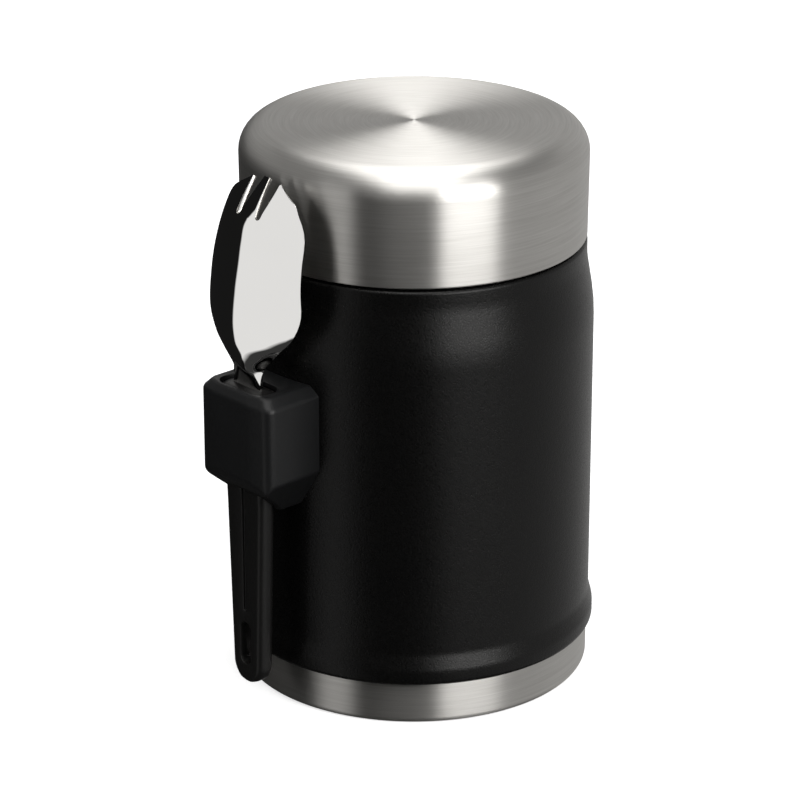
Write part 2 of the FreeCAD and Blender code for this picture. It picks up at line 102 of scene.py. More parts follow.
def rounded(corners: Sequence[Corner], closed: bool = False) -> list[Point]:
    """Points along an outline whose corners are rounded by tangent arcs.

    Args:
        corners: (x, z, rounding) of each corner, in order.
        closed: whether the last corner joins the first.

    Returns:
        Points along the outline, with arcs divided finely.
    """
    spots = [Vector((x, z)) for x, z, _ in corners]
    count = len(spots)
    points: list[Point] = []
    for i, here in enumerate(spots):
        rounding = corners[i][2]
        inner = closed or 0 < i < count - 1
        if not inner or rounding <= 0:
            points.append((here.x, here.y))
            continue
        back = (spots[i - 1] - here).normalized()
        ahead = (spots[(i + 1) % count] - here).normalized()
        half_turn = (math.pi - back.angle(ahead)) / 2
        if half_turn < STRAIGHT_ENOUGH:
            points.append((here.x, here.y))
            continue
        centre = here + (back + ahead).normalized() * (rounding / math.cos(half_turn))
        reach = rounding * math.tan(half_turn)
        first = here + back * reach - centre
        last = here + ahead * reach - centre
        turn = first.angle_signed(last)
        steps = max(2, round(abs(turn) / ARC_STEP))
        for k in range(steps + 1):
            angle = -turn * k / steps
            cosine = math.cos(angle)
            sine = math.sin(angle)
            points.append((
                centre.x + first.x * cosine - first.y * sine,
                centre.y + first.x * sine + first.y * cosine,
            ))
    return points


def beside(path: Sequence[Corner], wall: float) -> list[Corner]:
    """The same open path moved by wall to the left of its direction.

    Args:
        path: (x, z, rounding) corners.
        wall: distance to move, in millimetres.

    Returns:
        The corners of the moved path, whose roundings are concentric with the first ones.
    """
    spots = [Vector((x, z)) for x, z, _ in path]
    last = len(spots) - 1
    moved: list[Corner] = []
    for i, here in enumerate(spots):
        before = (here - spots[max(i - 1, 0)]).normalized()
        after = (spots[min(i + 1, last)] - here).normalized()
        before = before if i > 0 else after
        after = after if i < last else before
        left_before = Vector((-before.y, before.x))
        left_after = Vector((-after.y, after.x))
        shift = (left_before + left_after) * (wall / (1 + left_before.dot(left_after)))
        turns_left = before.x * after.y - before.y * after.x > 0
        rounding = path[i][2]
        if rounding > 0:
            rounding = max(rounding - wall, LEAST_ROUNDING) if turns_left else rounding + wall
        moved.append((here.x + shift.x, here.y + shift.y, rounding))
    return moved


def deselect_all() -> None:
    """Leave object mode with nothing selected."""
    if bpy.context.object is not None and bpy.context.object.mode != "OBJECT":
        bpy.ops.object.mode_set(mode="OBJECT")
    bpy.ops.object.select_all(action="DESELECT")


def pick(piece: bpy.types.Object) -> None:
    """Leave object mode with only this piece selected and active."""
    deselect_all()
    piece.select_set(True)
    bpy.context.view_layer.objects.active = piece


def start_loop(name: str, count: int) -> bpy.types.Object:
    """Add a ring of vertices, open it for editing and name it.

    Args:
        name: name of the new piece.
        count: number of vertices in the ring.

    Returns:
        The new object, in edit mode with its ring selected.
    """
    deselect_all()
    bpy.ops.mesh.primitive_circle_add(vertices=count, radius=10 * MM, fill_type="NOTHING")
    piece = bpy.context.active_object
    piece.name = name
    piece.data.name = name
    bpy.ops.object.mode_set(mode="EDIT")
    bpy.ops.mesh.select_all(action="SELECT")
    return piece


def place_selected(piece: bpy.types.Object, spots: Iterable[Vector]) -> None:
    """Move the selected vertices, in their own order, to the given places in millimetres."""
    mesh = bmesh.from_edit_mesh(piece.data)
    chosen = [vertex for vertex in mesh.verts if vertex.select]
    for vertex, spot in zip(chosen, spots, strict=True):
        vertex.co = Vector(spot) * MM
    bmesh.update_edit_mesh(piece.data)


def clean(piece: bpy.types.Object, smooth_angle: float = SMOOTH_ANGLE) -> bpy.types.Object:
    """Merge doubles, point the faces outwards and shade the piece smooth up to an angle."""
    bpy.ops.mesh.select_all(action="SELECT")
    bpy.ops.mesh.remove_doubles(threshold=MERGE_DISTANCE * MM)
    bpy.ops.mesh.normals_make_consistent(inside=False)
    bpy.ops.object.mode_set(mode="OBJECT")
    bpy.ops.object.shade_smooth_by_angle(angle=math.radians(smooth_angle))
    return piece


def spun(name: str, outline: Sequence[Point], smooth_angle: float = SMOOTH_ANGLE) -> bpy.types.Object:
    """Turn an outline about the jar's axis.

    Args:
        name: name of the new piece.
        outline: closed outline of (radius, height) points. One that starts and ends on the
            axis is left open there.
        smooth_angle: edges sharper than this, in degrees, stay sharp.

    Returns:
        The turned piece, a closed mesh.
    """
    piece = start_loop(name, len(outline))
    place_selected(piece, [Vector((radius, 0, height)) for radius, height in outline])
    if outline[0][0] == 0 and outline[-1][0] == 0:
        mesh = bmesh.from_edit_mesh(piece.data)
        for edge in mesh.edges:
            edge.select_set(all(vertex.co.x == 0 for vertex in edge.verts))
        bpy.ops.mesh.delete(type="EDGE")
        bpy.ops.mesh.select_all(action="SELECT")
    bpy.ops.mesh.spin(
        steps=SPIN_STEPS, angle=FULL_TURN, center=(0, 0, 0), axis=(0, 0, 1), use_auto_merge=False
    )
    return clean(piece, smooth_angle)


def sheet_outline(path: Sequence[Corner], wall: float) -> list[Point]:
    """Closed outline of a pressed sheet that follows path, with its wall on the left."""
    return rounded(path) + list(reversed(rounded(beside(path, wall))))


def stacked(
    name: str,
    rings: Sequence[Sequence[Vector]],
    joined: bool = False,
    smooth_angle: float = SMOOTH_ANGLE,
) -> bpy.types.Object:
    """Extrude a ring of vertices through a row of places.

    Args:
        name: name of the new piece.
        rings: rings of points in millimetres, all of one length.
        joined: whether the last ring is joined to the first; otherwise both ends are filled.
        smooth_angle: edges sharper than this, in degrees, stay sharp.

    Returns:
        The new piece, a closed mesh.
    """
    piece = start_loop(name, len(rings[0]))
    place_selected(piece, rings[0])
    if not joined:
        bpy.ops.mesh.edge_face_add()
        bpy.ops.mesh.select_all(action="SELECT")
        bpy.ops.mesh.region_to_loop()
    for ring in rings[1:]:
        bpy.ops.mesh.extrude_edges_move()
        place_selected(piece, ring)
    if joined:
        bpy.ops.mesh.extrude_edges_move()
        place_selected(piece, rings[0])
    else:
        bpy.ops.mesh.edge_face_add()
    return clean(piece, smooth_angle)


def smooth(piece: bpy.types.Object, smooth_angle: float) -> None:
    """Shade a finished piece smooth up to an angle in degrees."""
    pick(piece)
    bpy.ops.object.shade_smooth_by_angle(angle=math.radians(smooth_angle))


def apply_modifier(piece: bpy.types.Object, kind: str, **settings: object) -> None:
    """Add a modifier with these settings and apply it."""
    pick(piece)
    modifier = piece.modifiers.new(kind.title(), kind)
    for key, value in settings.items():
        setattr(modifier, key, value)
    bpy.ops.object.modifier_apply(modifier=modifier.name)


def soften(piece: bpy.types.Object, width: float, segments: int, sharper_than: float) -> None:
    """Round the edges that are sharper than an angle in degrees, by a width in millimetres."""
    apply_modifier(
        piece, "BEVEL", width=width * MM, segments=segments, limit_method="ANGLE",
        angle_limit=math.radians(sharper_than), harden_normals=False,
    )


def even_levels(low: float, high: float, rows: int) -> list[float]:
    """Evenly spaced heights from low to high."""
    return [low + (high - low) * step / rows for step in range(rows + 1)]


def cut_with(piece: bpy.types.Object, cutter: bpy.types.Object) -> None:
    """Cut cutter out of piece and throw the cutter away."""
    apply_modifier(piece, "BOOLEAN", operation="DIFFERENCE", object=cutter, solver="EXACT")
    bpy.data.objects.remove(cutter, do_unlink=True)


def bar(half_width: float, depth: float, rounding: float, centre: float, height: float) -> list[Vector]:
    """Level ring of a rounded bar.

    Args:
        half_width: half the bar's width along X.
        depth: thickness of the bar, away from the jar.
        rounding: corner rounding.
        centre: distance of the bar's middle from the jar's axis, towards -Y.
        height: height of the ring.

    Returns:
        The ring's points, in millimetres.
    """
    back = depth / 2
    corners = [
        (-half_width, -back, rounding),
        (half_width, -back, rounding),
        (half_width, back, rounding),
        (-half_width, back, rounding),
    ]
    return [Vector((x, -centre - y, height)) for x, y in rounded(corners, closed=True)]


class NodeBench:
    """A node tree with short ways to add and join nodes."""

    # Places of the colour sockets on a Mix node
    MIX_FIRST = 6
    MIX_SECOND = 7
    MIX_RESULT = 2

    def __init__(self, tree: bpy.types.NodeTree) -> None:
        """Work on this tree."""
        self.tree = tree

    def add(self, kind: str, **settings: object) -> bpy.types.Node:
        """Add a node and set its properties by name."""
        node = self.tree.nodes.new(kind)
        for key, value in settings.items():
            setattr(node, key, value)
        return node

    def join(self, source: bpy.types.NodeSocket, target: bpy.types.NodeSocket) -> None:
        """Link two sockets."""
        self.tree.links.new(source, target)

    def feed(self, target: bpy.types.NodeSocket, value: object) -> None:
        """Link a socket into target, or set target to a plain value."""
        if isinstance(value, bpy.types.NodeSocket):
            self.join(value, target)
        else:
            target.default_value = value

    def math(self, operation: str, first: object, second: object = 0.0) -> bpy.types.NodeSocket:
        """Add a Math node and return its result."""
        node = self.add("ShaderNodeMath", operation=operation)
        self.feed(node.inputs[0], first)
        self.feed(node.inputs[1], second)
        return node.outputs[0]

    def remap(
        self, value: object, low: float, high: float, to_low: object, to_high: object
    ) -> bpy.types.NodeSocket:
        """Add a clamped Map Range node and return its result."""
        node = self.add("ShaderNodeMapRange")
        self.feed(node.inputs["Value"], value)
        self.feed(node.inputs["From Min"], low)
        self.feed(node.inputs["From Max"], high)
        self.feed(node.inputs["To Min"], to_low)
        self.feed(node.inputs["To Max"], to_high)
        return node.outputs["Result"]

    def noise(self, vector: object, scale: float, detail: float = 2.0) -> bpy.types.NodeSocket:
        """Add a Noise Texture and return its value."""
        node = self.add("ShaderNodeTexNoise")
        self.feed(node.inputs["Vector"], vector)
        self.feed(node.inputs["Scale"], scale)
        node.inputs["Detail"].default_value = detail
        return node.outputs["Fac"]

    def mix_colour(self, factor: object, first: object, second: object) -> bpy.types.NodeSocket:
        """Add a colour Mix node and return its result."""
        node = self.add("ShaderNodeMix", data_type="RGBA")
        self.feed(node.inputs["Factor"], factor)
        self.feed(node.inputs[self.MIX_FIRST], first)
        self.feed(node.inputs[self.MIX_SECOND], second)
        return node.outputs[self.MIX_RESULT]


def with_alpha(colour: Colour) -> tuple[float, float, float, float]:
    """The colour with full alpha, as a socket takes it."""
    return (*colour, 1.0)


def new_group(
    name: str, inputs: dict[str, float], outputs: Sequence[str]
) -> tuple[bpy.types.NodeTree, NodeBench, bpy.types.Node, bpy.types.Node]:
    """Start a shader node group.

    Args:
        name: name of the group.
        inputs: default of each float input.
        outputs: names of the float outputs.

    Returns:
        The group, a bench on it, its input node and its output node.
    """
    group = bpy.data.node_groups.new(name, "ShaderNodeTree")
    for label, default in inputs.items():
        socket = group.interface.new_socket(name=label, in_out="INPUT", socket_type="NodeSocketFloat")
        socket.default_value = default
    for label in outputs:
        group.interface.new_socket(name=label, in_out="OUTPUT", socket_type="NodeSocketFloat")
    bench = NodeBench(group)
    return group, bench, bench.add("NodeGroupInput"), bench.add("NodeGroupOutput")


class Effects:
    """Node groups that several finishes share."""

    AXIS_GUARD = 1e-5
    SWELL_SHARE = 0.35

    def __init__(self) -> None:
        """Build each group once."""
        self.brush_marks = self.make_brush_marks()
        self.speckle = self.make_speckle()
        self.handling = self.make_handling()

    def make_brush_marks(self) -> bpy.types.NodeTree:
        """Fine and broad marks that run round the Z axis, on a wall or on a flat top."""
        group, bench, inputs, outputs = new_group(
            "brush_marks", {"Fine": 9000.0, "Broad": 900.0, "Length": 3.0}, ("Fine", "Broad")
        )
        place = bench.add("ShaderNodeTexCoord").outputs["Object"]
        split = bench.add("ShaderNodeSeparateXYZ")
        bench.join(place, split.inputs[0])
        across = bench.math("MULTIPLY", split.outputs["X"], split.outputs["X"])
        along = bench.math("MULTIPLY", split.outputs["Y"], split.outputs["Y"])
        radius = bench.math("SQRT", bench.math("ADD", across, along))
        safe = bench.math("MAXIMUM", radius, self.AXIS_GUARD)
        run = bench.math("SUBTRACT", split.outputs["Z"], radius)
        for label, detail in (("Fine", 3.0), ("Broad", 4.0)):
            join = bench.add("ShaderNodeCombineXYZ")
            for axis in ("X", "Y"):
                unit = bench.math("DIVIDE", split.outputs[axis], safe)
                bench.join(bench.math("MULTIPLY", unit, inputs.outputs["Length"]), join.inputs[axis])
            bench.join(bench.math("MULTIPLY", run, inputs.outputs[label]), join.inputs["Z"])
            bench.join(bench.noise(join.outputs[0], 1.0, detail), outputs.inputs[label])
        return group

    def make_speckle(self) -> bpy.types.NodeTree:
        """Grain of a sprayed coat or a moulding texture: small bumps with softer swells."""
        group, bench, inputs, outputs = new_group("speckle", {"Scale": 2600.0}, ("Grain", "Swell"))
        place = bench.add("ShaderNodeTexCoord").outputs["Object"]
        scale = inputs.outputs["Scale"]
        fine = bench.noise(place, 1.0, 2.0)
        bench.join(scale, fine.node.inputs["Scale"])
        broad = bench.noise(place, 1.0, 1.0)
        bench.join(bench.math("MULTIPLY", scale, self.SWELL_SHARE), broad.node.inputs["Scale"])
        bench.join(bench.remap(fine, 0.3, 0.7, 0.0, 1.0), outputs.inputs["Grain"])
        bench.join(broad, outputs.inputs["Swell"])
        return group

    def make_handling(self) -> bpy.types.NodeTree:
        """Faint cloudy smears that handling leaves on a surface."""
        group, bench, inputs, outputs = new_group("handling", {"Scale": 60.0}, ("Smear",))
        place = bench.add("ShaderNodeTexCoord").outputs["Object"]
        cloud = bench.noise(place, 1.0, 5.0)
        bench.join(inputs.outputs["Scale"], cloud.node.inputs["Scale"])
        bench.join(bench.remap(cloud, 0.35, 0.75, 0.0, 1.0), outputs.inputs["Smear"])
        return group


def new_material(name: str) -> tuple[bpy.types.Material, NodeBench, bpy.types.Node]:
    """An empty material, a bench on its nodes and its Principled BSDF."""
    material = bpy.data.materials.new(name)
    material.use_nodes = True
    tree = material.node_tree
    tree.nodes.clear()
    bench = NodeBench(tree)
    output = bench.add("ShaderNodeOutputMaterial")
    shader = bench.add("ShaderNodeBsdfPrincipled")
    bench.join(shader.outputs[0], output.inputs["Surface"])
    return material, bench, shader


def place_group(bench: NodeBench, group: bpy.types.NodeTree, **values: float) -> bpy.types.Node:
    """Put a shared effect in a material, with its own values."""
    node = bench.add("ShaderNodeGroup", node_tree=group)
    for label, value in values.items():
        node.inputs[label].default_value = value
    return node


@dataclass(frozen=True)
class SteelFinish:
    """Bare stainless steel, brushed round the jar's axis or polished."""

    name: str
    colour: Colour = (0.62, 0.61, 0.59)
    shade: Colour = (0.50, 0.49, 0.47)
    roughness: float = 0.4
    roughness_spread: float = 0.06
    anisotropy: float = 0.0
    brushing: Brushing = Brushing.NONE
    bump: float = 0.02
    bump_depth: float = 0.02
    fine_marks: float = 11000.0
    broad_marks: float = 1500.0
    mark_length: float = 2.5
    fine_share: float = 0.6
    smear_scale: float = 55.0
    quarter_turn: float = 0.25

    def make(self, effects: Effects) -> bpy.types.Material:
        """Build the material."""
        material, bench, shader = new_material(self.name)
        shader.inputs["Metallic"].default_value = 1.0
        smear = place_group(bench, effects.handling, Scale=self.smear_scale).outputs["Smear"]
        if self.brushing is Brushing.ROUND_THE_AXIS:
            marks = place_group(
                bench, effects.brush_marks,
                Fine=self.fine_marks, Broad=self.broad_marks, Length=self.mark_length,
            )
            fine = bench.math("MULTIPLY", marks.outputs["Fine"], self.fine_share)
            broad = bench.math("MULTIPLY", marks.outputs["Broad"], 1.0 - self.fine_share)
            tone = bench.remap(bench.math("ADD", fine, broad), 0.35, 0.65, 0.0, 1.0)
            tangent = bench.add("ShaderNodeTangent", direction_type="RADIAL", axis="Z")
            bench.join(tangent.outputs[0], shader.inputs["Tangent"])
            shader.inputs["Anisotropic"].default_value = self.anisotropy
            shader.inputs["Anisotropic Rotation"].default_value = self.quarter_turn
            bump = bench.add("ShaderNodeBump")
            bump.inputs["Strength"].default_value = self.bump
            bump.inputs["Distance"].default_value = self.bump_depth * MM
            bench.join(marks.outputs["Fine"], bump.inputs["Height"])
            bench.join(bump.outputs[0], shader.inputs["Normal"])
        else:
            tone = bench.remap(smear, 0.0, 1.0, 1.0, 0.6)
        bench.join(bench.mix_colour(tone, with_alpha(self.shade), with_alpha(self.colour)),
                   shader.inputs["Base Color"])
        low = self.roughness - self.roughness_spread
        high = self.roughness + self.roughness_spread
        bench.join(bench.remap(smear, 0.0, 1.0, low, high), shader.inputs["Roughness"])
        return material


@dataclass(frozen=True)
class CoatFinish:
    """A coat or moulding whose surface is a fine grain: powder coat, plastic, silicone or foam."""

    name: str
    colour: Colour
    high_colour: Colour
    roughness: float = 0.45
    roughness_spread: float = 0.05
    grain_scale: float = 2600.0
    grain_height: float = 0.03
    specular: float = 0.5
    smear_scale: float = 40.0
    smear_spread: float = 0.3

    def make(self, effects: Effects) -> bpy.types.Material:
        """Build the material."""
        material, bench, shader = new_material(self.name)
        shader.inputs["Specular IOR Level"].default_value = self.specular
        grain = place_group(bench, effects.speckle, Scale=self.grain_scale)
        smear = place_group(bench, effects.handling, Scale=self.smear_scale).outputs["Smear"]
        spread = bench.remap(smear, 0.0, 1.0, 1.0 - self.smear_spread, 1.0 + self.smear_spread)
        tint = bench.math("MULTIPLY", grain.outputs["Swell"], spread)
        bench.join(bench.mix_colour(tint, with_alpha(self.colour), with_alpha(self.high_colour)),
                   shader.inputs["Base Color"])
        low = self.roughness - self.roughness_spread
        high = self.roughness + self.roughness_spread
        bench.join(bench.remap(grain.outputs["Grain"], 0.0, 1.0, low, high), shader.inputs["Roughness"])
        bump = bench.add("ShaderNodeBump")
        bump.inputs["Strength"].default_value = 1.0
        bump.inputs["Distance"].default_value = self.grain_height * MM
        height = bench.math("ADD", grain.outputs["Grain"], grain.outputs["Swell"])
        bench.join(height, bump.inputs["Height"])
        bench.join(bump.outputs[0], shader.inputs["Normal"])
        return material


@dataclass(frozen=True)
class Finishes:
    """Every finish of the jar, by the slot that it fills."""

    powder_coat: CoatFinish = CoatFinish(
        "black_powder_coat", (0.0022, 0.0022, 0.0021), (0.005, 0.0048, 0.0046),
        roughness=0.30, grain_scale=2300.0, grain_height=0.022, specular=0.23,
    )
    brushed: SteelFinish = SteelFinish(
        "brushed_steel", roughness=0.36, roughness_spread=0.012, anisotropy=0.9,
        brushing=Brushing.ROUND_THE_AXIS, bump=0.35,
    )
    polished: SteelFinish = SteelFinish("polished_steel", roughness=0.24, roughness_spread=0.05)
    mirror: SteelFinish = SteelFinish(
        "mirror_steel", colour=(0.80, 0.79, 0.77), shade=(0.77, 0.76, 0.745),
        roughness=0.002, roughness_spread=0.001,
    )
    foil: SteelFinish = SteelFinish(
        "bright_foil", colour=(0.82, 0.82, 0.83), shade=(0.70, 0.70, 0.71), roughness=0.22
    )
    plastic: CoatFinish = CoatFinish(
        "black_plastic", (0.0075, 0.0078, 0.0083), (0.013, 0.0134, 0.0142),
        roughness=0.40, grain_scale=4200.0, grain_height=0.010, specular=0.3,
    )
    handle: CoatFinish = CoatFinish(
        "handle_plastic", (0.0070, 0.0068, 0.0066), (0.0115, 0.0112, 0.0108),
        roughness=0.36, grain_scale=4600.0, grain_height=0.008, specular=0.3,
    )
    silicone: CoatFinish = CoatFinish(
        "soft_silicone", (0.42, 0.43, 0.43), (0.50, 0.51, 0.51),
        roughness=0.5, grain_scale=1500.0, grain_height=0.010,
    )
    foam: CoatFinish = CoatFinish(
        "white_foam", (0.78, 0.78, 0.76), (0.88, 0.88, 0.86),
        roughness=0.8, grain_scale=450.0, grain_height=0.15,
    )
    pellet: CoatFinish = CoatFinish(
        "grey_pellet", (0.20, 0.20, 0.21), (0.30, 0.30, 0.31), roughness=0.8, grain_scale=3000.0
    )
    seal_glass: CoatFinish = CoatFinish(
        "seal_glass", (0.12, 0.09, 0.07), (0.18, 0.13, 0.10), roughness=0.2, grain_scale=900.0
    )

    def make_all(self) -> dict[str, bpy.types.Material]:
        """Build every material, by its slot's name."""
        effects = Effects()
        finishes = [getattr(self, item.name) for item in fields(self)]
        return {finish.name: finish.make(effects) for finish in finishes}


@dataclass
class Workshop:
    """Holds the frame and the finished materials, and hands pieces over to the jar's bodies."""

    frame: dict
    materials: dict[str, bpy.types.Material]
    made: list[str] = field(default_factory=list)

    def dress(self, piece: bpy.types.Object, body: Body, slot: str, *nodes: str) -> bpy.types.Object:
        """Give a piece its finish and its body, and let it stand for solids of the frame.

        Args:
            piece: the finished mesh.
            body: the body that it rides on.
            slot: the material slot that it fills.
            nodes: the frame's solids that it stands for.

        Returns:
            The piece.
        """
        deselect_all()
        piece.data.materials.clear()
        piece.data.materials.append(self.materials[slot])
        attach(piece, body.value)
        if nodes:
            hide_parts(*nodes)
        self.made.append(piece.name)
        LOG.info("%s rides on %s in %s, %d faces", piece.name, body.value, slot, len(piece.data.polygons))
        return piece

    def dress_remaining(self) -> None:
        """Give every solid of the frame that still shows the finish of its slot."""
        slots = {part["node"]: part["material_slot"] for part in self.frame["record"]["subparts"]}
        for name, node in self.frame["nodes"].items():
            if node.hide_render:
                continue
            node.data.materials.clear()
            node.data.materials.append(self.materials[slots[name]])
            LOG.info("%s keeps its solid in %s", name, slots[name])


@dataclass
class Thread:
    """The two-start screw thread that the neck and the lid share."""

    starts: int = 2
    lead: float = 10.0
    turns: float = 0.8
    height: float = 1.2
    base_width: float = 2.6
    crest_width: float = 1.2
    bottom: float = 126.5
    sink: float = 0.3
    steps: int = 72
    run_out: float = 0.06
    tuck: float = 0.02

    def ridge_rings(self, root: float, outward: int, start: int, lowered: float) -> list[list[Vector]]:
        """Rings of one ridge along its helix, fading into the wall at both ends.

        Args:
            root: radius of the wall that carries the ridge.
            outward: 1 for a ridge that stands outwards, -1 for one that stands inwards.
            start: which of the thread's starts this is.
            lowered: how far the ridge lies below the neck's own.

        Returns:
            Rings of four points each.
        """
        rings = []
        for step in range(self.steps + 1):
            share = step / self.steps
            fade = min(1.0, share / self.run_out, (1 - share) / self.run_out)
            rise = math.sin(fade * math.pi / 2)
            angle = FULL_TURN * (self.turns * share + start / self.starts)
            middle = self.bottom - lowered + self.lead * self.turns * share
            foot = root - self.sink * outward
            crest = root + outward * (self.height * rise - self.tuck * (1 - rise))
            half_foot = self.base_width / 2
            half_crest = self.crest_width / 2
            section = [
                (foot, middle - half_foot), (crest, middle - half_crest),
                (crest, middle + half_crest), (foot, middle + half_foot),
            ]
            rings.append([
                Vector((radius * math.cos(angle), radius * math.sin(angle), height))
                for radius, height in section
            ])
        return rings

    def make(self, name: str, root: float, outward: int, lowered: float = 0.0) -> list[bpy.types.Object]:
        """Model every start of the thread."""
        return [
            stacked(f"{name}_{start + 1}", self.ridge_rings(root, outward, start, lowered))
            for start in range(self.starts)
        ]


@dataclass
class Jar:
    """Outer shell, food liner and steel base."""

    body_radius: float = 47.25
    shoulder_radius: float = 45.2
    neck_radius: float = 41.2
    bead_radius: float = 48.38
    base_radius: float = 46.8
    mouth_radius: float = 38.0
    shell_wall: float = 0.6
    liner_wall: float = 0.5
    weld_gap: float = 0.05
    bead_bottom: float = 11.6
    bead_edge_rounding: float = 1.4
    bead_crest: float = 15.8
    bead_crest_rounding: float = 5.0
    bead_top: float = 20.0
    bead_foot_rounding: float = 6.0
    slope_bottom: float = 101.8
    slope_bottom_rounding: float = 50.0
    slope_top: float = 114.3
    slope_top_rounding: float = 20.0
    shoulder_height: float = 119.4
    shoulder_rounding: float = 1.0
    neck_foot_rounding: float = 0.9
    coat_edge_radius: float = 42.4
    lip_height: float = 141.2
    lip_outer_rounding: float = 0.2
    lip_inner_rounding: float = 1.0
    liner_floor: float = 12.4
    liner_floor_rounding: float = 12.0
    base_rim: float = 17.0
    foot_radius: float = 36.5
    foot_recess: float = 2.2
    foot_rounding: float = 1.2
    base_rounding: float = 1.8

    def coat_path(self) -> list[Corner]:
        """The painted part of the shell, from its inturned lower lip to the top of the shoulder."""
        return [
            (self.base_radius + self.weld_gap, self.bead_bottom, 0),
            (self.bead_radius, self.bead_bottom, self.bead_edge_rounding),
            (self.bead_radius, self.bead_crest, self.bead_crest_rounding),
            (self.body_radius, self.bead_top, self.bead_foot_rounding),
            (self.body_radius, self.slope_bottom, self.slope_bottom_rounding),
            (self.shoulder_radius, self.slope_top, self.slope_top_rounding),
            (self.shoulder_radius, self.shoulder_height, self.shoulder_rounding),
            (self.coat_edge_radius, self.shoulder_height, 0),
        ]

    def neck_path(self) -> list[Corner]:
        """The bare part of the shell, from the shoulder up to the lip."""
        return [
            (self.coat_edge_radius, self.shoulder_height, 0),
            (self.neck_radius, self.shoulder_height, self.neck_foot_rounding),
            (self.neck_radius, self.lip_height - self.liner_wall, 0),
        ]

    def liner_path(self) -> list[Corner]:
        """The food liner, from the lip down to the middle of its floor."""
        floor = self.liner_floor + self.liner_wall
        return [
            (self.neck_radius, self.lip_height, self.lip_outer_rounding),
            (self.mouth_radius, self.lip_height, self.lip_inner_rounding),
            (self.mouth_radius, floor, self.liner_floor_rounding),
            (0, floor, 0),
        ]

    def base_path(self) -> list[Corner]:
        """The steel base cup, from the middle of its recess to its hidden rim."""
        return [
            (0, self.foot_recess, 0),
            (self.foot_radius, self.foot_recess, self.foot_rounding),
            (self.foot_radius + self.foot_recess, 0, self.foot_rounding),
            (self.base_radius, 0, self.base_rounding),
            (self.base_radius, self.base_rim, 0),
        ]

    def build(self, shop: Workshop, thread: Thread) -> None:
        """Model and dress the jar's pieces."""
        shell = spun("outer_shell_coat", sheet_outline(self.coat_path(), self.shell_wall))
        shop.dress(shell, Body.JAR, "black_powder_coat", "outer_shell")
        neck = spun("outer_shell_neck", sheet_outline(self.neck_path(), self.shell_wall))
        shop.dress(neck, Body.JAR, "brushed_steel", "outer_shell")
        for ridge in thread.make("neck_thread", self.neck_radius, 1):
            shop.dress(ridge, Body.JAR, "polished_steel")
        liner = spun("food_liner", sheet_outline(self.liner_path(), self.liner_wall))
        shop.dress(liner, Body.JAR, "polished_steel", "inner_liner")
        base = spun("steel_base", sheet_outline(self.base_path(), self.shell_wall))
        shop.dress(base, Body.JAR, "brushed_steel", "base_cup")


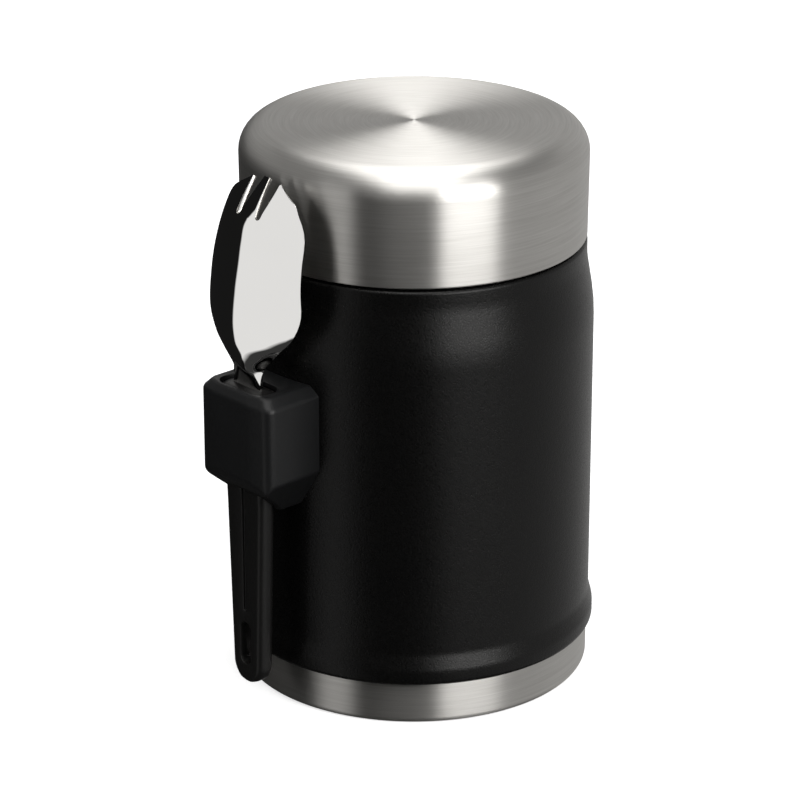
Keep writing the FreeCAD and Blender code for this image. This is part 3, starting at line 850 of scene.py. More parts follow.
@dataclass
class Lid:
    """Brushed steel cap with its moulded collar, plug and gasket."""

    bottom_radius: float = 45.15
    top_radius: float = 45.5
    corner: float = 7.5
    wall: float = 0.5
    hem: float = 1.0
    hem_rounding: float = 0.5
    edge_height: float = 120.0
    top_height: float = 150.0
    collar_inner: float = 42.8
    collar_outer: float = 44.55
    web_bottom: float = 143.5
    web_top: float = 145.4
    web_inner: float = 35.0
    skirt_rounding: float = 0.4
    web_edge_rounding: float = 0.6
    web_inner_rounding: float = 0.2
    web_root_rounding: float = 0.5
    assembly_gap: float = 0.1
    plug_wall: float = 1.5
    plug_flange: float = 39.5
    plug_bottom: float = 133.0
    plug_floor_rounding: float = 3.0
    plug_flange_rounding: float = 0.3
    gasket_outer: float = 41.0
    gasket_bottom: float = 141.5
    gasket_thickness: float = 1.7
    gasket_lip: float = 2.2
    gasket_lip_thickness: float = 1.0
    gasket_edge_rounding: float = 0.4
    gasket_lip_rounding: float = 0.3
    gasket_root_rounding: float = 0.2
    running_gap: float = 0.3

    def cap_path(self) -> list[Corner]:
        """The steel cap, from its hem to the middle of its top."""
        return [
            (self.bottom_radius - self.hem, self.edge_height, 0),
            (self.bottom_radius, self.edge_height, self.hem_rounding),
            (self.top_radius, self.top_height, self.corner),
            (0, self.top_height, 0),
        ]

    def collar_outline(self) -> list[Corner]:
        """The moulded collar: skirt and web in one closed outline."""
        bottom = self.edge_height + self.wall + self.assembly_gap
        return [
            (self.collar_inner, bottom, self.skirt_rounding),
            (self.collar_outer, bottom, self.skirt_rounding),
            (self.collar_outer, self.web_top, self.web_edge_rounding),
            (self.web_inner, self.web_top, self.web_inner_rounding),
            (self.web_inner, self.web_bottom, self.web_inner_rounding),
            (self.collar_inner, self.web_bottom, self.web_root_rounding),
        ]

    def plug_path(self) -> list[Corner]:
        """The plug, from the middle of its floor to its flange on the collar's web."""
        side = self.web_inner - self.assembly_gap
        return [
            (0, self.plug_bottom, 0),
            (side, self.plug_bottom, self.plug_floor_rounding),
            (side, self.web_top, self.plug_flange_rounding),
            (self.plug_flange, self.web_top, 0),
        ]

    def gasket_outline(self) -> list[Corner]:
        """The gasket: a flat ring on the lip and a short lip down into the mouth."""
        inner = self.web_inner + self.running_gap
        bottom = self.gasket_bottom
        tip = bottom - self.gasket_lip
        top = bottom + self.gasket_thickness
        lip = inner + self.gasket_lip_thickness
        return [
            (inner, tip, self.gasket_lip_rounding),
            (lip, tip, self.gasket_lip_rounding),
            (lip, bottom, self.gasket_root_rounding),
            (self.gasket_outer, bottom, self.gasket_edge_rounding),
            (self.gasket_outer, top, self.gasket_edge_rounding),
            (inner, top, self.gasket_lip_rounding),
        ]

    def build(self, shop: Workshop, thread: Thread) -> None:
        """Model and dress the lid's pieces."""
        cap = spun("lid_steel_cap", sheet_outline(self.cap_path(), self.wall))
        shop.dress(cap, Body.LID, "brushed_steel", "lid_cap")
        collar = spun("lid_moulded_collar", rounded(self.collar_outline(), closed=True))
        shop.dress(collar, Body.LID, "black_plastic", "lid_collar")
        half_pitch = thread.lead / thread.starts / 2
        for ridge in thread.make("lid_thread", self.collar_inner, -1, half_pitch):
            shop.dress(ridge, Body.LID, "black_plastic")
        plug = spun("lid_moulded_plug", sheet_outline(self.plug_path(), self.plug_wall))
        shop.dress(plug, Body.LID, "black_plastic", "lid_plug")
        gasket = spun("silicone_gasket", rounded(self.gasket_outline(), closed=True))
        shop.dress(gasket, Body.SEAL, "soft_silicone", "lid_gasket")


@dataclass
class Handle:
    """Sizes of the spork's moulded handle, which the holder's slot follows."""

    centre: float = 57.2
    top: float = 91.9
    bottom: float = 9.0
    half_top: float = 8.4
    half_bottom: float = 5.7
    taper_end: float = 14.7
    depth_top: float = 7.4
    depth: float = 5.0
    depth_end: float = 60.0
    rounding_top: float = 3.0
    rounding: float = 1.9

    def half_width(self, height: float) -> float:
        """Half the handle's width at a height."""
        slope = (self.half_top - self.half_bottom) / (self.top - self.taper_end)
        return self.half_bottom + slope * (height - self.taper_end)

    def swell(self, height: float) -> float:
        """Share of the way from the handle's plain part up to its swollen top."""
        return max(0.0, (height - self.depth_end) / (self.top - self.depth_end))

    def thickness(self, height: float) -> float:
        """The handle's thickness at a height."""
        return self.depth + self.swell(height) * (self.depth_top - self.depth)

    def ring(self, height: float, extra: float = 0.0, level: float | None = None) -> list[Vector]:
        """Level ring of the handle, grown by extra, placed at level or at its own height."""
        rounding = self.rounding + self.swell(height) * (self.rounding_top - self.rounding)
        return bar(
            self.half_width(height) + extra,
            self.thickness(height) + 2 * extra,
            rounding + extra,
            self.centre,
            height if level is None else level,
        )


@dataclass
class Holder:
    """Moulded block on the jar's side that the spork's handle drops into."""

    half_width: float = 13.5
    face: float = 63.2
    bulge: float = 1.0
    corner: float = 3.0
    bottom: float = 58.7
    top: float = 92.2
    bevel_height: float = 2.6
    bevel_side: float = 2.6
    bevel_face: float = 1.2
    front_cut_rise: float = 8.3
    front_cut_run: float = 9.4
    side_cut_run: float = 4.0
    side_cut_front_rise: float = 8.7
    side_cut_back_rise: float = 3.8
    wall_gap: float = 0.1
    slot_gap: float = 0.3
    bow_rounding: float = 16.0
    flat_share: float = 0.5
    wall_sink: float = 5.0
    softness: float = 1.15
    rim_softness: float = 0.3
    corner_cut: float = 0.75
    side_corner_across: float = 0.87
    side_corner_down: float = 0.49
    front_corner_out: float = 0.91
    front_corner_down: float = 0.41
    cutter_reach: float = 4.0

    def outline(self, inset_side: float, inset_face: float, height: float, sink: float) -> list[Vector]:
        """Level outline, from inside the jar's wall round the bowed face and back.

        Args:
            inset_side: how far the sides are drawn in.
            inset_face: how far the face is drawn in.
            height: height of the outline.
            sink: distance of the outline's back edge from the jar's axis.

        Returns:
            The outline's points.
        """
        half = self.half_width - inset_side
        face = self.face - inset_face
        edge = face - self.bulge
        shoulder = half * self.flat_share
        corners = [
            (half, sink, 0), (half, edge, self.corner),
            (shoulder, face, self.bow_rounding), (-shoulder, face, self.bow_rounding),
            (-half, edge, self.corner), (-half, sink, 0),
        ]
        return [Vector((x, -y, height)) for x, y in rounded(corners)]

    def cut_away(self, spot: Vector, outward: Vector) -> None:
        """Cut away what lies outward of the plane through one point, and close the cut."""
        bpy.ops.mesh.select_all(action="SELECT")
        bpy.ops.mesh.bisect(plane_co=spot * MM, plane_no=outward, use_fill=True, clear_outer=True)

    def cut_below(self, first: Vector, second: Vector, third: Vector) -> None:
        """Cut away what lies beyond three points, which turn left when seen from outside."""
        self.cut_away(first, (second - first).cross(third - first).normalized())

    def cut_corner(self, edge: Vector, outward: Vector) -> None:
        """Cut a corner back evenly, along an edge that runs through one point."""
        self.cut_away(edge - outward * self.corner_cut, outward)

    def cut_underside(self, jar: Jar) -> None:
        """Slope the underside of the block in edit mode, at its front and sides."""
        half = self.half_width
        run_in = self.face - self.front_cut_run
        rise = self.bottom + self.front_cut_rise
        self.cut_below(
            Vector((-half, -run_in, self.bottom)),
            Vector((half, -run_in, self.bottom)),
            Vector((half, -self.face, rise)),
        )
        for side in (-1, 1):
            back = Vector((side * half, -jar.body_radius, self.bottom + self.side_cut_back_rise))
            front = Vector((side * half, -self.face, self.bottom + self.side_cut_front_rise))
            under = Vector((side * (half - self.side_cut_run), -run_in, self.bottom))
            points = (back, front, under) if side > 0 else (back, under, front)
            self.cut_below(*points)
            self.cut_corner(front, Vector((side * self.side_corner_across, 0, -self.side_corner_down)))
        front_corner = Vector((0, -self.front_corner_out, -self.front_corner_down))
        self.cut_corner(Vector((0, -self.face, rise)), front_corner)

    def build(self, shop: Workshop, handle: Handle, jar: Jar) -> None:
        """Model and dress the holder."""
        levels = [
            (0.0, 0.0, self.bottom),
            (0.0, 0.0, self.top - self.bevel_height),
            (self.bevel_side, self.bevel_face, self.top),
        ]
        sink = jar.body_radius - self.wall_sink
        block = stacked("spork_holder", [self.outline(*level, sink) for level in levels])
        bpy.ops.object.mode_set(mode="EDIT")
        self.cut_underside(jar)
        clean(block)
        soften(block, self.softness, 4, 18)
        slot_levels = (self.bottom - 2, handle.depth_end, self.top - 0.5, self.top + 2)
        slot = stacked("slot_cutter", [handle.ring(height, self.slot_gap) for height in slot_levels])
        cut_with(block, slot)
        inside = jar.body_radius + self.wall_gap
        low = self.bottom - self.cutter_reach
        high = self.top + self.cutter_reach
        cut_with(block, spun("wall_cutter", [(0, low), (inside, low), (inside, high), (0, high)]))
        soften(block, self.rim_softness, 3, 40)
        smooth(block, 30)
        shop.dress(block, Body.JAR, "black_plastic", "holder_body")


@dataclass(frozen=True)
class BowlStation:
    """One level of the spork's bowl, in shares of the bowl's own sizes."""

    along: float
    bulge: float
    depth: float
    width: float


@dataclass
class Spork:
    """Moulded handle and polished steel blade of the spork."""

    handle: Handle = field(default_factory=Handle)
    thickness: float = 1.2
    plane: float = 57.5
    groove_half: float = 0.6
    groove_depth: float = 0.7
    groove_bottom: float = 29.5
    groove_top: float = 67.0
    hole_half: float = 1.95
    hole_bottom: float = 14.3
    hole_top: float = 26.4
    crown: float = 1.3
    crown_core: float = 0.4
    end_half: float = 1.0
    handle_softness: float = 0.25
    low_ring: float = 30.0
    high_ring: float = 75.0
    blade_bottom: float = 90.0
    neck_half: float = 5.0
    neck_top: float = 97.8
    neck_rounding: float = 6.0
    head_half: float = 17.5
    head_bottom: float = 110.2
    head_bottom_rounding: float = 12.0
    head_top_half: float = 15.4
    head_side_top: float = 134.0
    head_top_rounding: float = 16.0
    tine_shoulder_half: float = 11.5
    tine_shoulder_height: float = 141.0
    tine_shoulder_rounding: float = 5.0
    tip_half: float = 5.0
    tip_height: float = 144.8
    middle_tip_half: float = 0.95
    middle_tip_height: float = 145.5
    gap_bottom: float = 136.6
    gap_inner: float = 2.9
    gap_outer: float = 4.25
    gap_rounding: float = 0.6
    tip_width: float = 0.25
    edge_softness: float = 0.25
    seam_merge: float = 0.01
    least_depth: float = 0.02
    bowl_rows: int = 72
    tine_rows: int = 16
    middle_columns: int = 8
    web_columns: int = 2
    side_columns: int = 12
    bowl_width: float = 17.0
    bowl_bulge: float = 4.3
    bowl_depth: float = 7.0
    stations: tuple[BowlStation, ...] = (
        BowlStation(-0.17, 0.0, 0.004, 0.28),
        BowlStation(-0.09, 0.02, 0.06, 0.28),
        BowlStation(0.0, 0.47, 0.33, 0.30),
        BowlStation(0.078, 0.80, 0.57, 0.50),
        BowlStation(0.15, 0.98, 0.80, 0.74),
        BowlStation(0.256, 0.99, 0.97, 0.95),
        BowlStation(0.42, 0.76, 0.96, 0.985),
        BowlStation(0.55, 0.49, 0.90, 0.96),
        BowlStation(0.675, 0.23, 0.89, 0.91),
        BowlStation(0.80, -0.14, 0.83, 0.82),
        BowlStation(0.905, -0.93, 0.44, 0.66),
        BowlStation(1.03, -2.14, 0.01, 0.30),
    )

    def end_ring(self, share: float, soft: float) -> list[Vector]:
        """Level ring of the handle's full-round lower end.

        Args:
            share: share of the quarter turn from the very end up to the full width.
            soft: share of the full depth and rounding that the ring has.

        Returns:
            The ring's points.
        """
        handle = self.handle
        end = handle.half_bottom
        angle = math.pi / 2 * share
        half = max(end * math.sin(angle), self.end_half)
        rounding = min(handle.rounding, half * 0.9) * soft
        height = handle.bottom + end * (1 - math.cos(angle))
        return bar(half, handle.depth * soft, rounding, handle.centre, height)

    def handle_rings(self) -> list[list[Vector]]:
        """Rings of the handle from its full-round lower end up to its domed top."""
        handle = self.handle
        end_steps = 12
        rings = [
            self.end_ring(step / end_steps, min(1.0, 0.55 + 0.09 * step))
            for step in range(1, end_steps + 1)
        ]
        heights = (self.low_ring, handle.depth_end, self.high_ring)
        rings += [handle.ring(height) for height in heights]
        crown_steps = 8
        deepest = handle.depth_top / 2 - self.crown_core
        for step in range(crown_steps + 1):
            angle = math.pi / 2 * step / crown_steps
            level = handle.top - self.crown * (1 - math.sin(angle))
            rings.append(self.crown_ring(deepest * (1 - math.cos(angle)), level))
        return rings

    def crown_ring(self, inset: float, level: float) -> list[Vector]:
        """Level ring of the handle's domed top."""
        handle = self.handle
        depth = handle.depth_top - 2 * inset
        rounding = min(handle.rounding_top, depth / 2 * NEARLY_FULL)
        return bar(handle.half_top - inset, depth, rounding, handle.centre, level)

    def upright_cutter(
        self, name: str, half: float, low: float, high: float, inner: float, outer: float
    ) -> bpy.types.Object:
        """Upright round-ended cutter that points away from the jar."""
        end = half * NEARLY_FULL
        corners = [(-half, low, end), (half, low, end), (half, high, end), (-half, high, end)]
        outline = rounded(corners, closed=True)
        rings = [[Vector((x, -depth, z)) for x, z in outline] for depth in (inner, outer)]
        return stacked(name, rings)

    def build_handle(self, shop: Workshop) -> None:
        """Model and dress the handle."""
        handle = self.handle
        piece = stacked("spork_moulded_handle", self.handle_rings())
        face = handle.centre + handle.depth / 2
        cut_with(piece, self.upright_cutter(
            "hole_cutter", self.hole_half, self.hole_bottom, self.hole_top,
            handle.centre - handle.depth, handle.centre + handle.depth,
        ))
        cut_with(piece, self.upright_cutter(
            "groove_cutter", self.groove_half, self.groove_bottom, self.groove_top,
            face - self.groove_depth, face + 3,
        ))
        soften(piece, self.handle_softness, 2, 50)
        smooth(piece, 32)
        shop.dress(piece, Body.SPORK, "handle_plastic", "spork_handle")

    def form(self, height: float) -> tuple[float, float, float]:
        """The bowl at a height.

        Args:
            height: height above the ground.

        Returns:
            Distance of the middle line from the jar's axis, depth of the hollow, and half
            the width over which it is that deep.
        """
        length = self.middle_tip_height - self.neck_top
        along = (height - self.neck_top) / length
        stations = self.stations
        last = len(stations) - 1
        i = max(k for k in range(last) if stations[k].along <= along or k == 0)
        span = stations[i + 1].along - stations[i].along
        t = min(max((along - stations[i].along) / span, 0.0), 1.0)

        def blend(pick: Callable[[BowlStation], float]) -> float:
            """Smooth value between the two stations."""
            slopes = []
            for k in (i, i + 1):
                low = stations[max(k - 1, 0)]
                high = stations[min(k + 1, last)]
                slopes.append((pick(high) - pick(low)) / (high.along - low.along))
            return (
                (2 * t**3 - 3 * t**2 + 1) * pick(stations[i])
                + (t**3 - 2 * t**2 + t) * span * slopes[0]
                + (3 * t**2 - 2 * t**3) * pick(stations[i + 1])
                + (t**3 - t**2) * span * slopes[1]
            )

        middle = self.plane + self.bowl_bulge * blend(lambda station: station.bulge)
        depth = max(self.bowl_depth * blend(lambda station: station.depth), self.least_depth)
        return middle, depth, self.bowl_width * blend(lambda station: station.width)

    def surface(self, across: float, height: float) -> Vector:
        """Point of the blade's middle sheet."""
        middle, depth, half = self.form(height)
        radius = (half * half + depth * depth) / (2 * depth)
        distance = middle - radius + math.sqrt(max(radius * radius - across * across, 0.0))
        return Vector((across, -distance, height))

    def half_width(self, height: float) -> float:
        """Half the blade's width at a height, along its rounded outline."""
        points = rounded([
            (self.neck_half, self.blade_bottom, 0),
            (self.neck_half, self.neck_top, self.neck_rounding),
            (self.head_half, self.head_bottom, self.head_bottom_rounding),
            (self.head_top_half, self.head_side_top, self.head_top_rounding),
            (self.tine_shoulder_half, self.tine_shoulder_height, self.tine_shoulder_rounding),
            (self.tip_half, self.tip_height, 0),
        ])
        for (x0, z0), (x1, z1) in zip(points, points[1:]):
            if z0 <= height <= z1 and z1 > z0:
                return x0 + (x1 - x0) * (height - z0) / (z1 - z0)
        return points[0][0] if height < points[0][1] else points[-1][0]

    def gap_edges(self, height: float) -> Point:
        """Inner and outer edge of the gap between the middle tine and an outer one."""
        share = max(0.0, (height - self.gap_bottom) / (self.middle_tip_height - self.gap_bottom))
        inner = self.gap_inner + share * (self.middle_tip_half - self.gap_inner)
        share = max(0.0, (height - self.gap_bottom) / (self.tip_height - self.gap_bottom))
        outer = self.gap_outer + share * (self.tip_half - self.gap_outer)
        reach = max(self.gap_rounding - (height - self.gap_bottom), 0.0)
        narrow = self.gap_rounding - math.sqrt(max(self.gap_rounding**2 - reach**2, 0.0))
        return inner + narrow, outer - narrow

    def tine_edges(self, side: int, height: float) -> Point:
        """Edges of an outer tine, with its tip slightly blunted."""
        inner = self.gap_edges(height)[1]
        outer = max(self.half_width(height), inner + self.tip_width)
        return (inner, outer) if side > 0 else (-outer, -inner)

    def strip(
        self, name: str, edges: Callable[[float], Point], levels: Sequence[float], columns: int
    ) -> bpy.types.Object:
        """One strip of the blade's middle sheet.

        Args:
            name: name of the strip.
            edges: gives the strip's left and right edge at a height.
            levels: heights of its rows of vertices.
            columns: faces across.

        Returns:
            The strip, as an open sheet.
        """
        deselect_all()
        rows = len(levels) - 1
        bpy.ops.mesh.primitive_grid_add(x_subdivisions=columns, y_subdivisions=rows, size=1.0)
        piece = bpy.context.active_object
        piece.name = name
        for vertex in piece.data.vertices:
            height = levels[round((vertex.co.y + 0.5) * rows)]
            left, right = edges(height)
            vertex.co = self.surface(left + (right - left) * (vertex.co.x + 0.5), height) * MM
        return piece

    def blade_strips(self) -> list[bpy.types.Object]:
        """Every strip of the blade: its middle, two webs, two sides and three tines."""
        split = self.gap_bottom
        inner, outer = self.gap_edges(split)
        low_rows = even_levels(self.blade_bottom, split, self.bowl_rows)
        middle_rows = self.tine_levels(self.middle_tip_height)
        side_rows = self.tine_levels(self.tip_height)
        middle = self.middle_columns
        strips = [
            self.strip("blade_middle", lambda z: self.bowl_edges(z, -inner, inner), low_rows, middle),
            self.strip("tine_middle", self.middle_edges, middle_rows, middle),
        ]
        for side in (-1, 1):
            near = (inner, outer) if side > 0 else (-outer, -inner)
            strips += [
                self.strip(f"web_{side}", lambda z, n=near: self.bowl_edges(z, *n),
                           low_rows, self.web_columns),
                self.strip(f"side_{side}", lambda z, s=side: self.side_edges(s, z, outer),
                           low_rows, self.side_columns),
                self.strip(f"tine_{side}", lambda z, s=side: self.tine_edges(s, z),
                           side_rows, self.side_columns),
            ]
        return strips

    def build_blade(self, shop: Workshop) -> None:
        """Model and dress the blade: strips joined to one sheet, thickened and softened."""
        strips = self.blade_strips()
        blade = strips[0]
        pick(blade)
        for strip in strips:
            strip.select_set(True)
        bpy.ops.object.join()
        blade.name = "spork_steel_blade"
        bpy.ops.object.mode_set(mode="EDIT")
        bpy.ops.mesh.select_all(action="SELECT")
        bpy.ops.mesh.remove_doubles(threshold=self.seam_merge * MM)
        bpy.ops.mesh.normals_make_consistent(inside=False)
        bpy.ops.object.mode_set(mode="OBJECT")
        apply_modifier(
            blade, "SOLIDIFY", thickness=self.thickness * MM, offset=0.0, use_even_offset=True
        )
        soften(blade, self.edge_softness, 3, 50)
        pick(blade)
        bpy.ops.object.mode_set(mode="EDIT")
        clean(blade, 40)
        shop.dress(blade, Body.SPORK, "mirror_steel", "spork_blade")

    def tine_levels(self, top: float) -> list[float]:
        """Heights of a tine's rows, close together where its gap is rounded."""
        low = self.gap_bottom
        steps = 4
        angles = [math.pi / 2 * step / steps for step in range(steps)]
        fine = [low + self.gap_rounding * (1 - math.cos(angle)) for angle in angles]
        return fine + even_levels(low + self.gap_rounding, top, self.tine_rows)

    def middle_edges(self, height: float) -> Point:
        """Edges of the middle tine."""
        inner = self.gap_edges(height)[0]
        return -inner, inner

    def share_of_width(self, height: float) -> float:
        """How far the blade's width at a height has grown to its width below the tines, up to 1."""
        return min(1.0, self.half_width(height) / self.half_width(self.gap_bottom))

    def bowl_edges(self, height: float, left: float, right: float) -> Point:
        """Edges of a strip below the tines, narrower where the blade is."""
        share = self.share_of_width(height)
        return left * share, right * share

    def side_edges(self, side: int, height: float, inner: float) -> Point:
        """Edges of the strip between a gap's line and the blade's rim."""
        near = inner * self.share_of_width(height)
        far = self.half_width(height)
        return (near, far) if side > 0 else (-far, -near)

    def build(self, shop: Workshop) -> None:
        """Model and dress the spork."""
        self.build_handle(shop)
        self.build_blade(shop)


@dataclass(frozen=True)
class Card:
    """Upright curved card round the jar, from left to right in degrees from the camera's side."""

    name: str
    left: float
    right: float
    low: float
    high: float
    strength: float


@dataclass(frozen=True)
class Lamp:
    """Soft square lamp, placed in degrees to the right of the camera and in metres."""

    name: str
    turn: float
    distance: float
    height: float
    size: float
    power: float


@dataclass
class Studio:
    """Camera, lamps, floor, and the cards and dome that only reflections show."""

    # Heights in metres where the cards start and where one takes over from the next
    card_foot = -2.0
    card_waist = -0.2
    card_chest = 0.35
    card_middle = 1.2
    card_head = 1.6

    azimuth: float = 47.0
    distance: float = 0.8752
    height: float = 0.425
    tilt: float = 21.951
    yaw: float = 0.239
    lens: float = 159.95
    sensor: float = 36.0
    wall_radius: float = 2.2
    card_step: float = 6.0
    cards: tuple[Card, ...] = (
        Card("card_left_far", -180, -64, card_foot, card_chest, 0.02),
        Card("card_left_strip", -64, -40, card_foot, card_middle, 0.62),
        Card("card_front_dark", -40, 17, card_foot, card_middle, 0.02),
        Card("card_right_low", 17, 54, card_foot, card_waist, 0.4),
        Card("card_right_bright", 17, 54, card_waist, card_head, 5.0),
        Card("card_right_grey", 54, 180, card_foot, card_chest, 0.5),
        Card("card_back_high_left", -180, -64, card_chest, card_head, 0.36),
        Card("card_back_high_right", 54, 180, card_chest, card_head, 0.45),
    )
    lamps: tuple[Lamp, ...] = (
        Lamp("lamp_right", 48, 1.3, 1.1, 0.9, 12.0),
        Lamp("lamp_left", -60, 1.4, 1.2, 1.0, 4.0),
        Lamp("lamp_back", 170, 1.4, 1.3, 1.0, 8.0),
    )
    lamp_aim: float = 0.07
    card_tint: Colour = (1.0, 0.99, 0.975)
    mirror_turn: float = -2.0
    dome_radius: float = 2.0
    dome_height: float = 0.12
    dome_white: float = 0.92
    dome_black: float = 0.010
    dome_low_share: float = 0.045
    floor_size: float = 8.0
    floor_shown: float = 0.86
    floor_bounced: float = 0.28
    floor_glow: float = 0.62
    fill_light: float = 0.45

    def direction(self, turn: float) -> Vector:
        """Level direction from the jar, turned to the right from the camera's own by turn degrees."""
        angle = math.radians(self.azimuth + turn)
        return Vector((math.sin(angle), -math.cos(angle), 0))

    def add_camera(self) -> None:
        """Place the camera at the photograph's viewpoint."""
        data = bpy.data.cameras.new("camera")
        data.lens = self.lens
        data.sensor_width = self.sensor
        data.clip_start = 0.01
        data.clip_end = 50
        camera = bpy.data.objects.new("camera", data)
        bpy.context.scene.collection.objects.link(camera)
        camera.location = self.direction(0) * self.distance + Vector((0, 0, self.height))
        camera.rotation_euler = (
            math.radians(90 - self.tilt), 0, math.radians(self.azimuth + self.yaw)
        )
        bpy.context.scene.camera = camera

    def shining(self, name: str) -> tuple[bpy.types.Material, NodeBench, bpy.types.Node, bpy.types.Node]:
        """An emissive material, a bench on its nodes, its Emission node and its output."""
        material = bpy.data.materials.new(name)
        material.use_nodes = True
        material.node_tree.nodes.clear()
        bench = NodeBench(material.node_tree)
        emission = bench.add("ShaderNodeEmission")
        return material, bench, emission, bench.add("ShaderNodeOutputMaterial")

    def glow(self, name: str, strength: float) -> bpy.types.Material:
        """Plain material that shines at a strength."""
        material, bench, emission, output = self.shining(name)
        emission.inputs["Color"].default_value = with_alpha(self.card_tint)
        emission.inputs["Strength"].default_value = strength
        bench.join(emission.outputs[0], output.inputs["Surface"])
        return material

    def only_reflected(self, card: bpy.types.Object) -> None:
        """Let only glossy rays see a card, and keep it out of the object."""
        card.visible_camera = False
        card.visible_diffuse = False
        card.visible_shadow = False
        card.visible_transmission = False

    def add_card(self, plan: Card) -> None:
        """Upright curved card round the jar."""
        deselect_all()
        steps = max(2, round((plan.right - plan.left) / self.card_step))
        bpy.ops.mesh.primitive_grid_add(x_subdivisions=steps, y_subdivisions=1, size=1.0)
        card = bpy.context.active_object
        card.name = plan.name
        for vertex in card.data.vertices:
            turn = plan.left + (plan.right - plan.left) * (vertex.co.x + 0.5)
            height = plan.low if vertex.co.y < 0 else plan.high
            vertex.co = self.direction(turn) * self.wall_radius + Vector((0, 0, height))
        card.data.materials.append(self.glow(plan.name, plan.strength))
        self.only_reflected(card)

    def add_level_card(self, name: str, height: float, size: Point, strength: float) -> None:
        """Level card above or below the jar, lined up with the camera."""
        deselect_all()
        bpy.ops.mesh.primitive_plane_add(size=1.0)
        card = bpy.context.active_object
        card.name = name
        centre = Vector((0, 0, height))
        right = self.direction(90)
        away = -self.direction(0)
        for vertex in card.data.vertices:
            vertex.co = centre + right * (vertex.co.x * size[0]) + away * (vertex.co.y * size[1])
        card.data.materials.append(self.glow(name, strength))
        self.only_reflected(card)

    def add_cards(self) -> None:
        """Set up what brushed and painted surfaces reflect round the jar."""
        for plan in self.cards:
            self.add_card(plan)
        self.add_level_card("card_overhead", self.card_head, (1.1, 4.2), 2.8)
        self.add_level_card("card_overhead_wide", self.card_head + 0.1, (5.0, 5.0), 0.22)
        self.add_level_card("card_below", self.card_foot, (5.0, 5.0), 0.05)

    def add_mirror_dome(self) -> None:
        """Set up what only mirror-like steel reflects: white in front, black behind, grey below."""
        deselect_all()
        bpy.ops.mesh.primitive_uv_sphere_add(
            segments=32, ring_count=16, radius=self.dome_radius, location=(0, 0, self.dome_height)
        )
        dome = bpy.context.active_object
        dome.name = "mirror_dome"
        material, bench, emission, output = self.shining("mirror_dome")
        place = bench.add("ShaderNodeTexCoord").outputs["Object"]
        front = bench.add("ShaderNodeVectorMath", operation="DOT_PRODUCT")
        bench.join(place, front.inputs[0])
        front.inputs[1].default_value = self.direction(self.mirror_turn)
        split = bench.add("ShaderNodeSeparateXYZ")
        bench.join(place, split.inputs[0])
        white = bench.remap(front.outputs["Value"], -0.02, 0.05, self.dome_black, self.dome_white)
        raised = bench.remap(split.outputs["Z"], -1.62, -1.45, self.dome_low_share, 1.0)
        bench.join(bench.math("MULTIPLY", white, raised), emission.inputs["Strength"])
        see_through = bench.add("ShaderNodeBsdfTransparent")
        mix = bench.add("ShaderNodeMixShader")
        bench.join(bench.add("ShaderNodeLightPath").outputs["Is Singular Ray"], mix.inputs[0])
        bench.join(see_through.outputs[0], mix.inputs[1])
        bench.join(emission.outputs[0], mix.inputs[2])
        bench.join(mix.outputs[0], output.inputs["Surface"])
        dome.data.materials.append(material)
        self.only_reflected(dome)

    def add_lamp(self, plan: Lamp) -> None:
        """Soft square lamp aimed at the jar, unseen by reflections."""
        data = bpy.data.lights.new(plan.name, "AREA")
        data.shape = "SQUARE"
        data.size = plan.size
        data.energy = plan.power
        lamp = bpy.data.objects.new(plan.name, data)
        bpy.context.scene.collection.objects.link(lamp)
        lamp.location = self.direction(plan.turn) * plan.distance + Vector((0, 0, plan.height))
        aim = Vector((0, 0, self.lamp_aim)) - lamp.location
        lamp.rotation_mode = "QUATERNION"
        lamp.rotation_quaternion = aim.to_track_quat("-Z", "Y")
        lamp.visible_glossy = False

    def add_floor(self) -> None:
        """Plain pale floor."""
        deselect_all()
        bpy.ops.mesh.primitive_plane_add(size=self.floor_size)
        floor = bpy.context.active_object
        floor.name = "floor"
        material, bench, shader = new_material("floor_white")
        shader.inputs["Roughness"].default_value = 0.9
        shader.inputs["Specular IOR Level"].default_value = 0.0
        shader.inputs["Emission Color"].default_value = (1.0, 1.0, 1.0, 1.0)
        ray = bench.add("ShaderNodeLightPath").outputs["Is Camera Ray"]
        bounced = with_alpha((self.floor_bounced,) * 3)
        shown = with_alpha((self.floor_shown,) * 3)
        bench.join(bench.mix_colour(ray, bounced, shown), shader.inputs["Base Color"])
        bench.join(bench.math("MULTIPLY", ray, self.floor_glow), shader.inputs["Emission Strength"])
        floor.data.materials.append(material)
        floor.visible_glossy = False

    def add_world(self) -> None:
        """White surroundings for the camera and for reflections, and a dimmer fill light."""
        world = bpy.data.worlds.new("studio")
        bpy.context.scene.world = world
        world.use_nodes = True
        tree = world.node_tree
        tree.nodes.clear()
        bench = NodeBench(tree)
        path = bench.add("ShaderNodeLightPath")
        seen = bench.math("ADD", path.outputs["Is Camera Ray"], path.outputs["Is Glossy Ray"])
        seen = bench.math("ADD", seen, path.outputs["Is Transmission Ray"])
        strength = bench.remap(seen, 0.0, 1.0, self.fill_light, 1.0)
        background = bench.add("ShaderNodeBackground")
        background.inputs["Color"].default_value = (1.0, 1.0, 1.0, 1.0)
        bench.join(strength, background.inputs["Strength"])
        output = bench.add("ShaderNodeOutputWorld")
        bench.join(background.outputs[0], output.inputs["Surface"])

    def build(self) -> None:
        """Set up the whole studio."""
        bpy.context.scene.view_settings.view_transform = "Standard"
        self.add_camera()
        self.add_world()
        self.add_floor()
        self.add_cards()
        self.add_mirror_dome()
        for plan in self.lamps:
            self.add_lamp(plan)


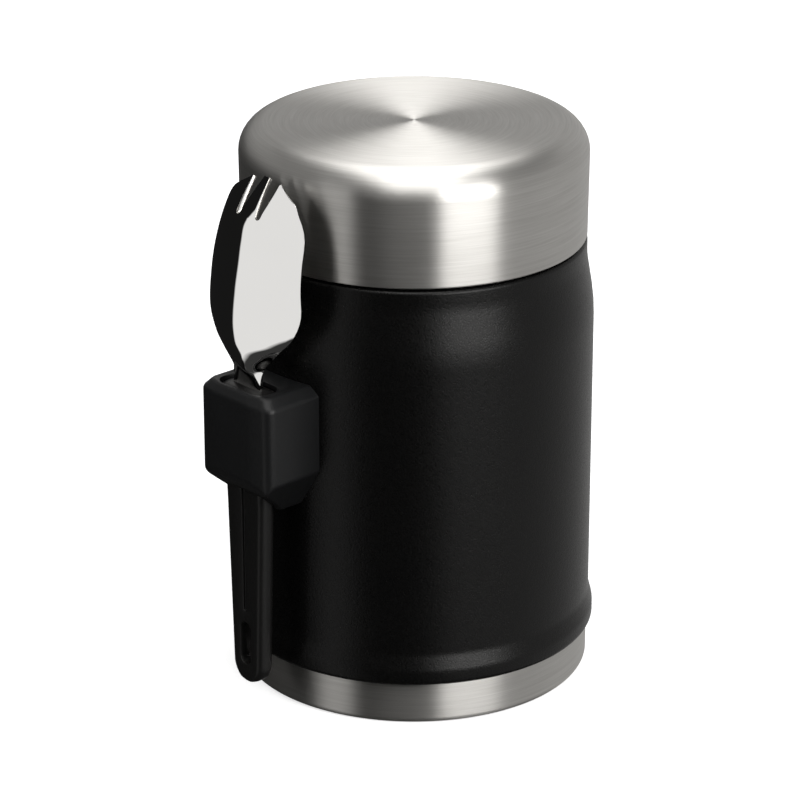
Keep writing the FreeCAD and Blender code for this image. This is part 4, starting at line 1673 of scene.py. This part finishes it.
def main() -> None:
    """Build the jar's looks on the fixed frame."""
    logging.basicConfig(level=logging.INFO, format="%(message)s")
    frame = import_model()
    Studio().build()
    shop = Workshop(frame, Finishes().make_all())
    thread = Thread()
    jar = Jar()
    spork = Spork()
    jar.build(shop, thread)
    Lid().build(shop, thread)
    Holder().build(shop, spork.handle, jar)
    spork.build(shop)
    shop.dress_remaining()
    deselect_all()


if __name__ == "__main__":
    main()
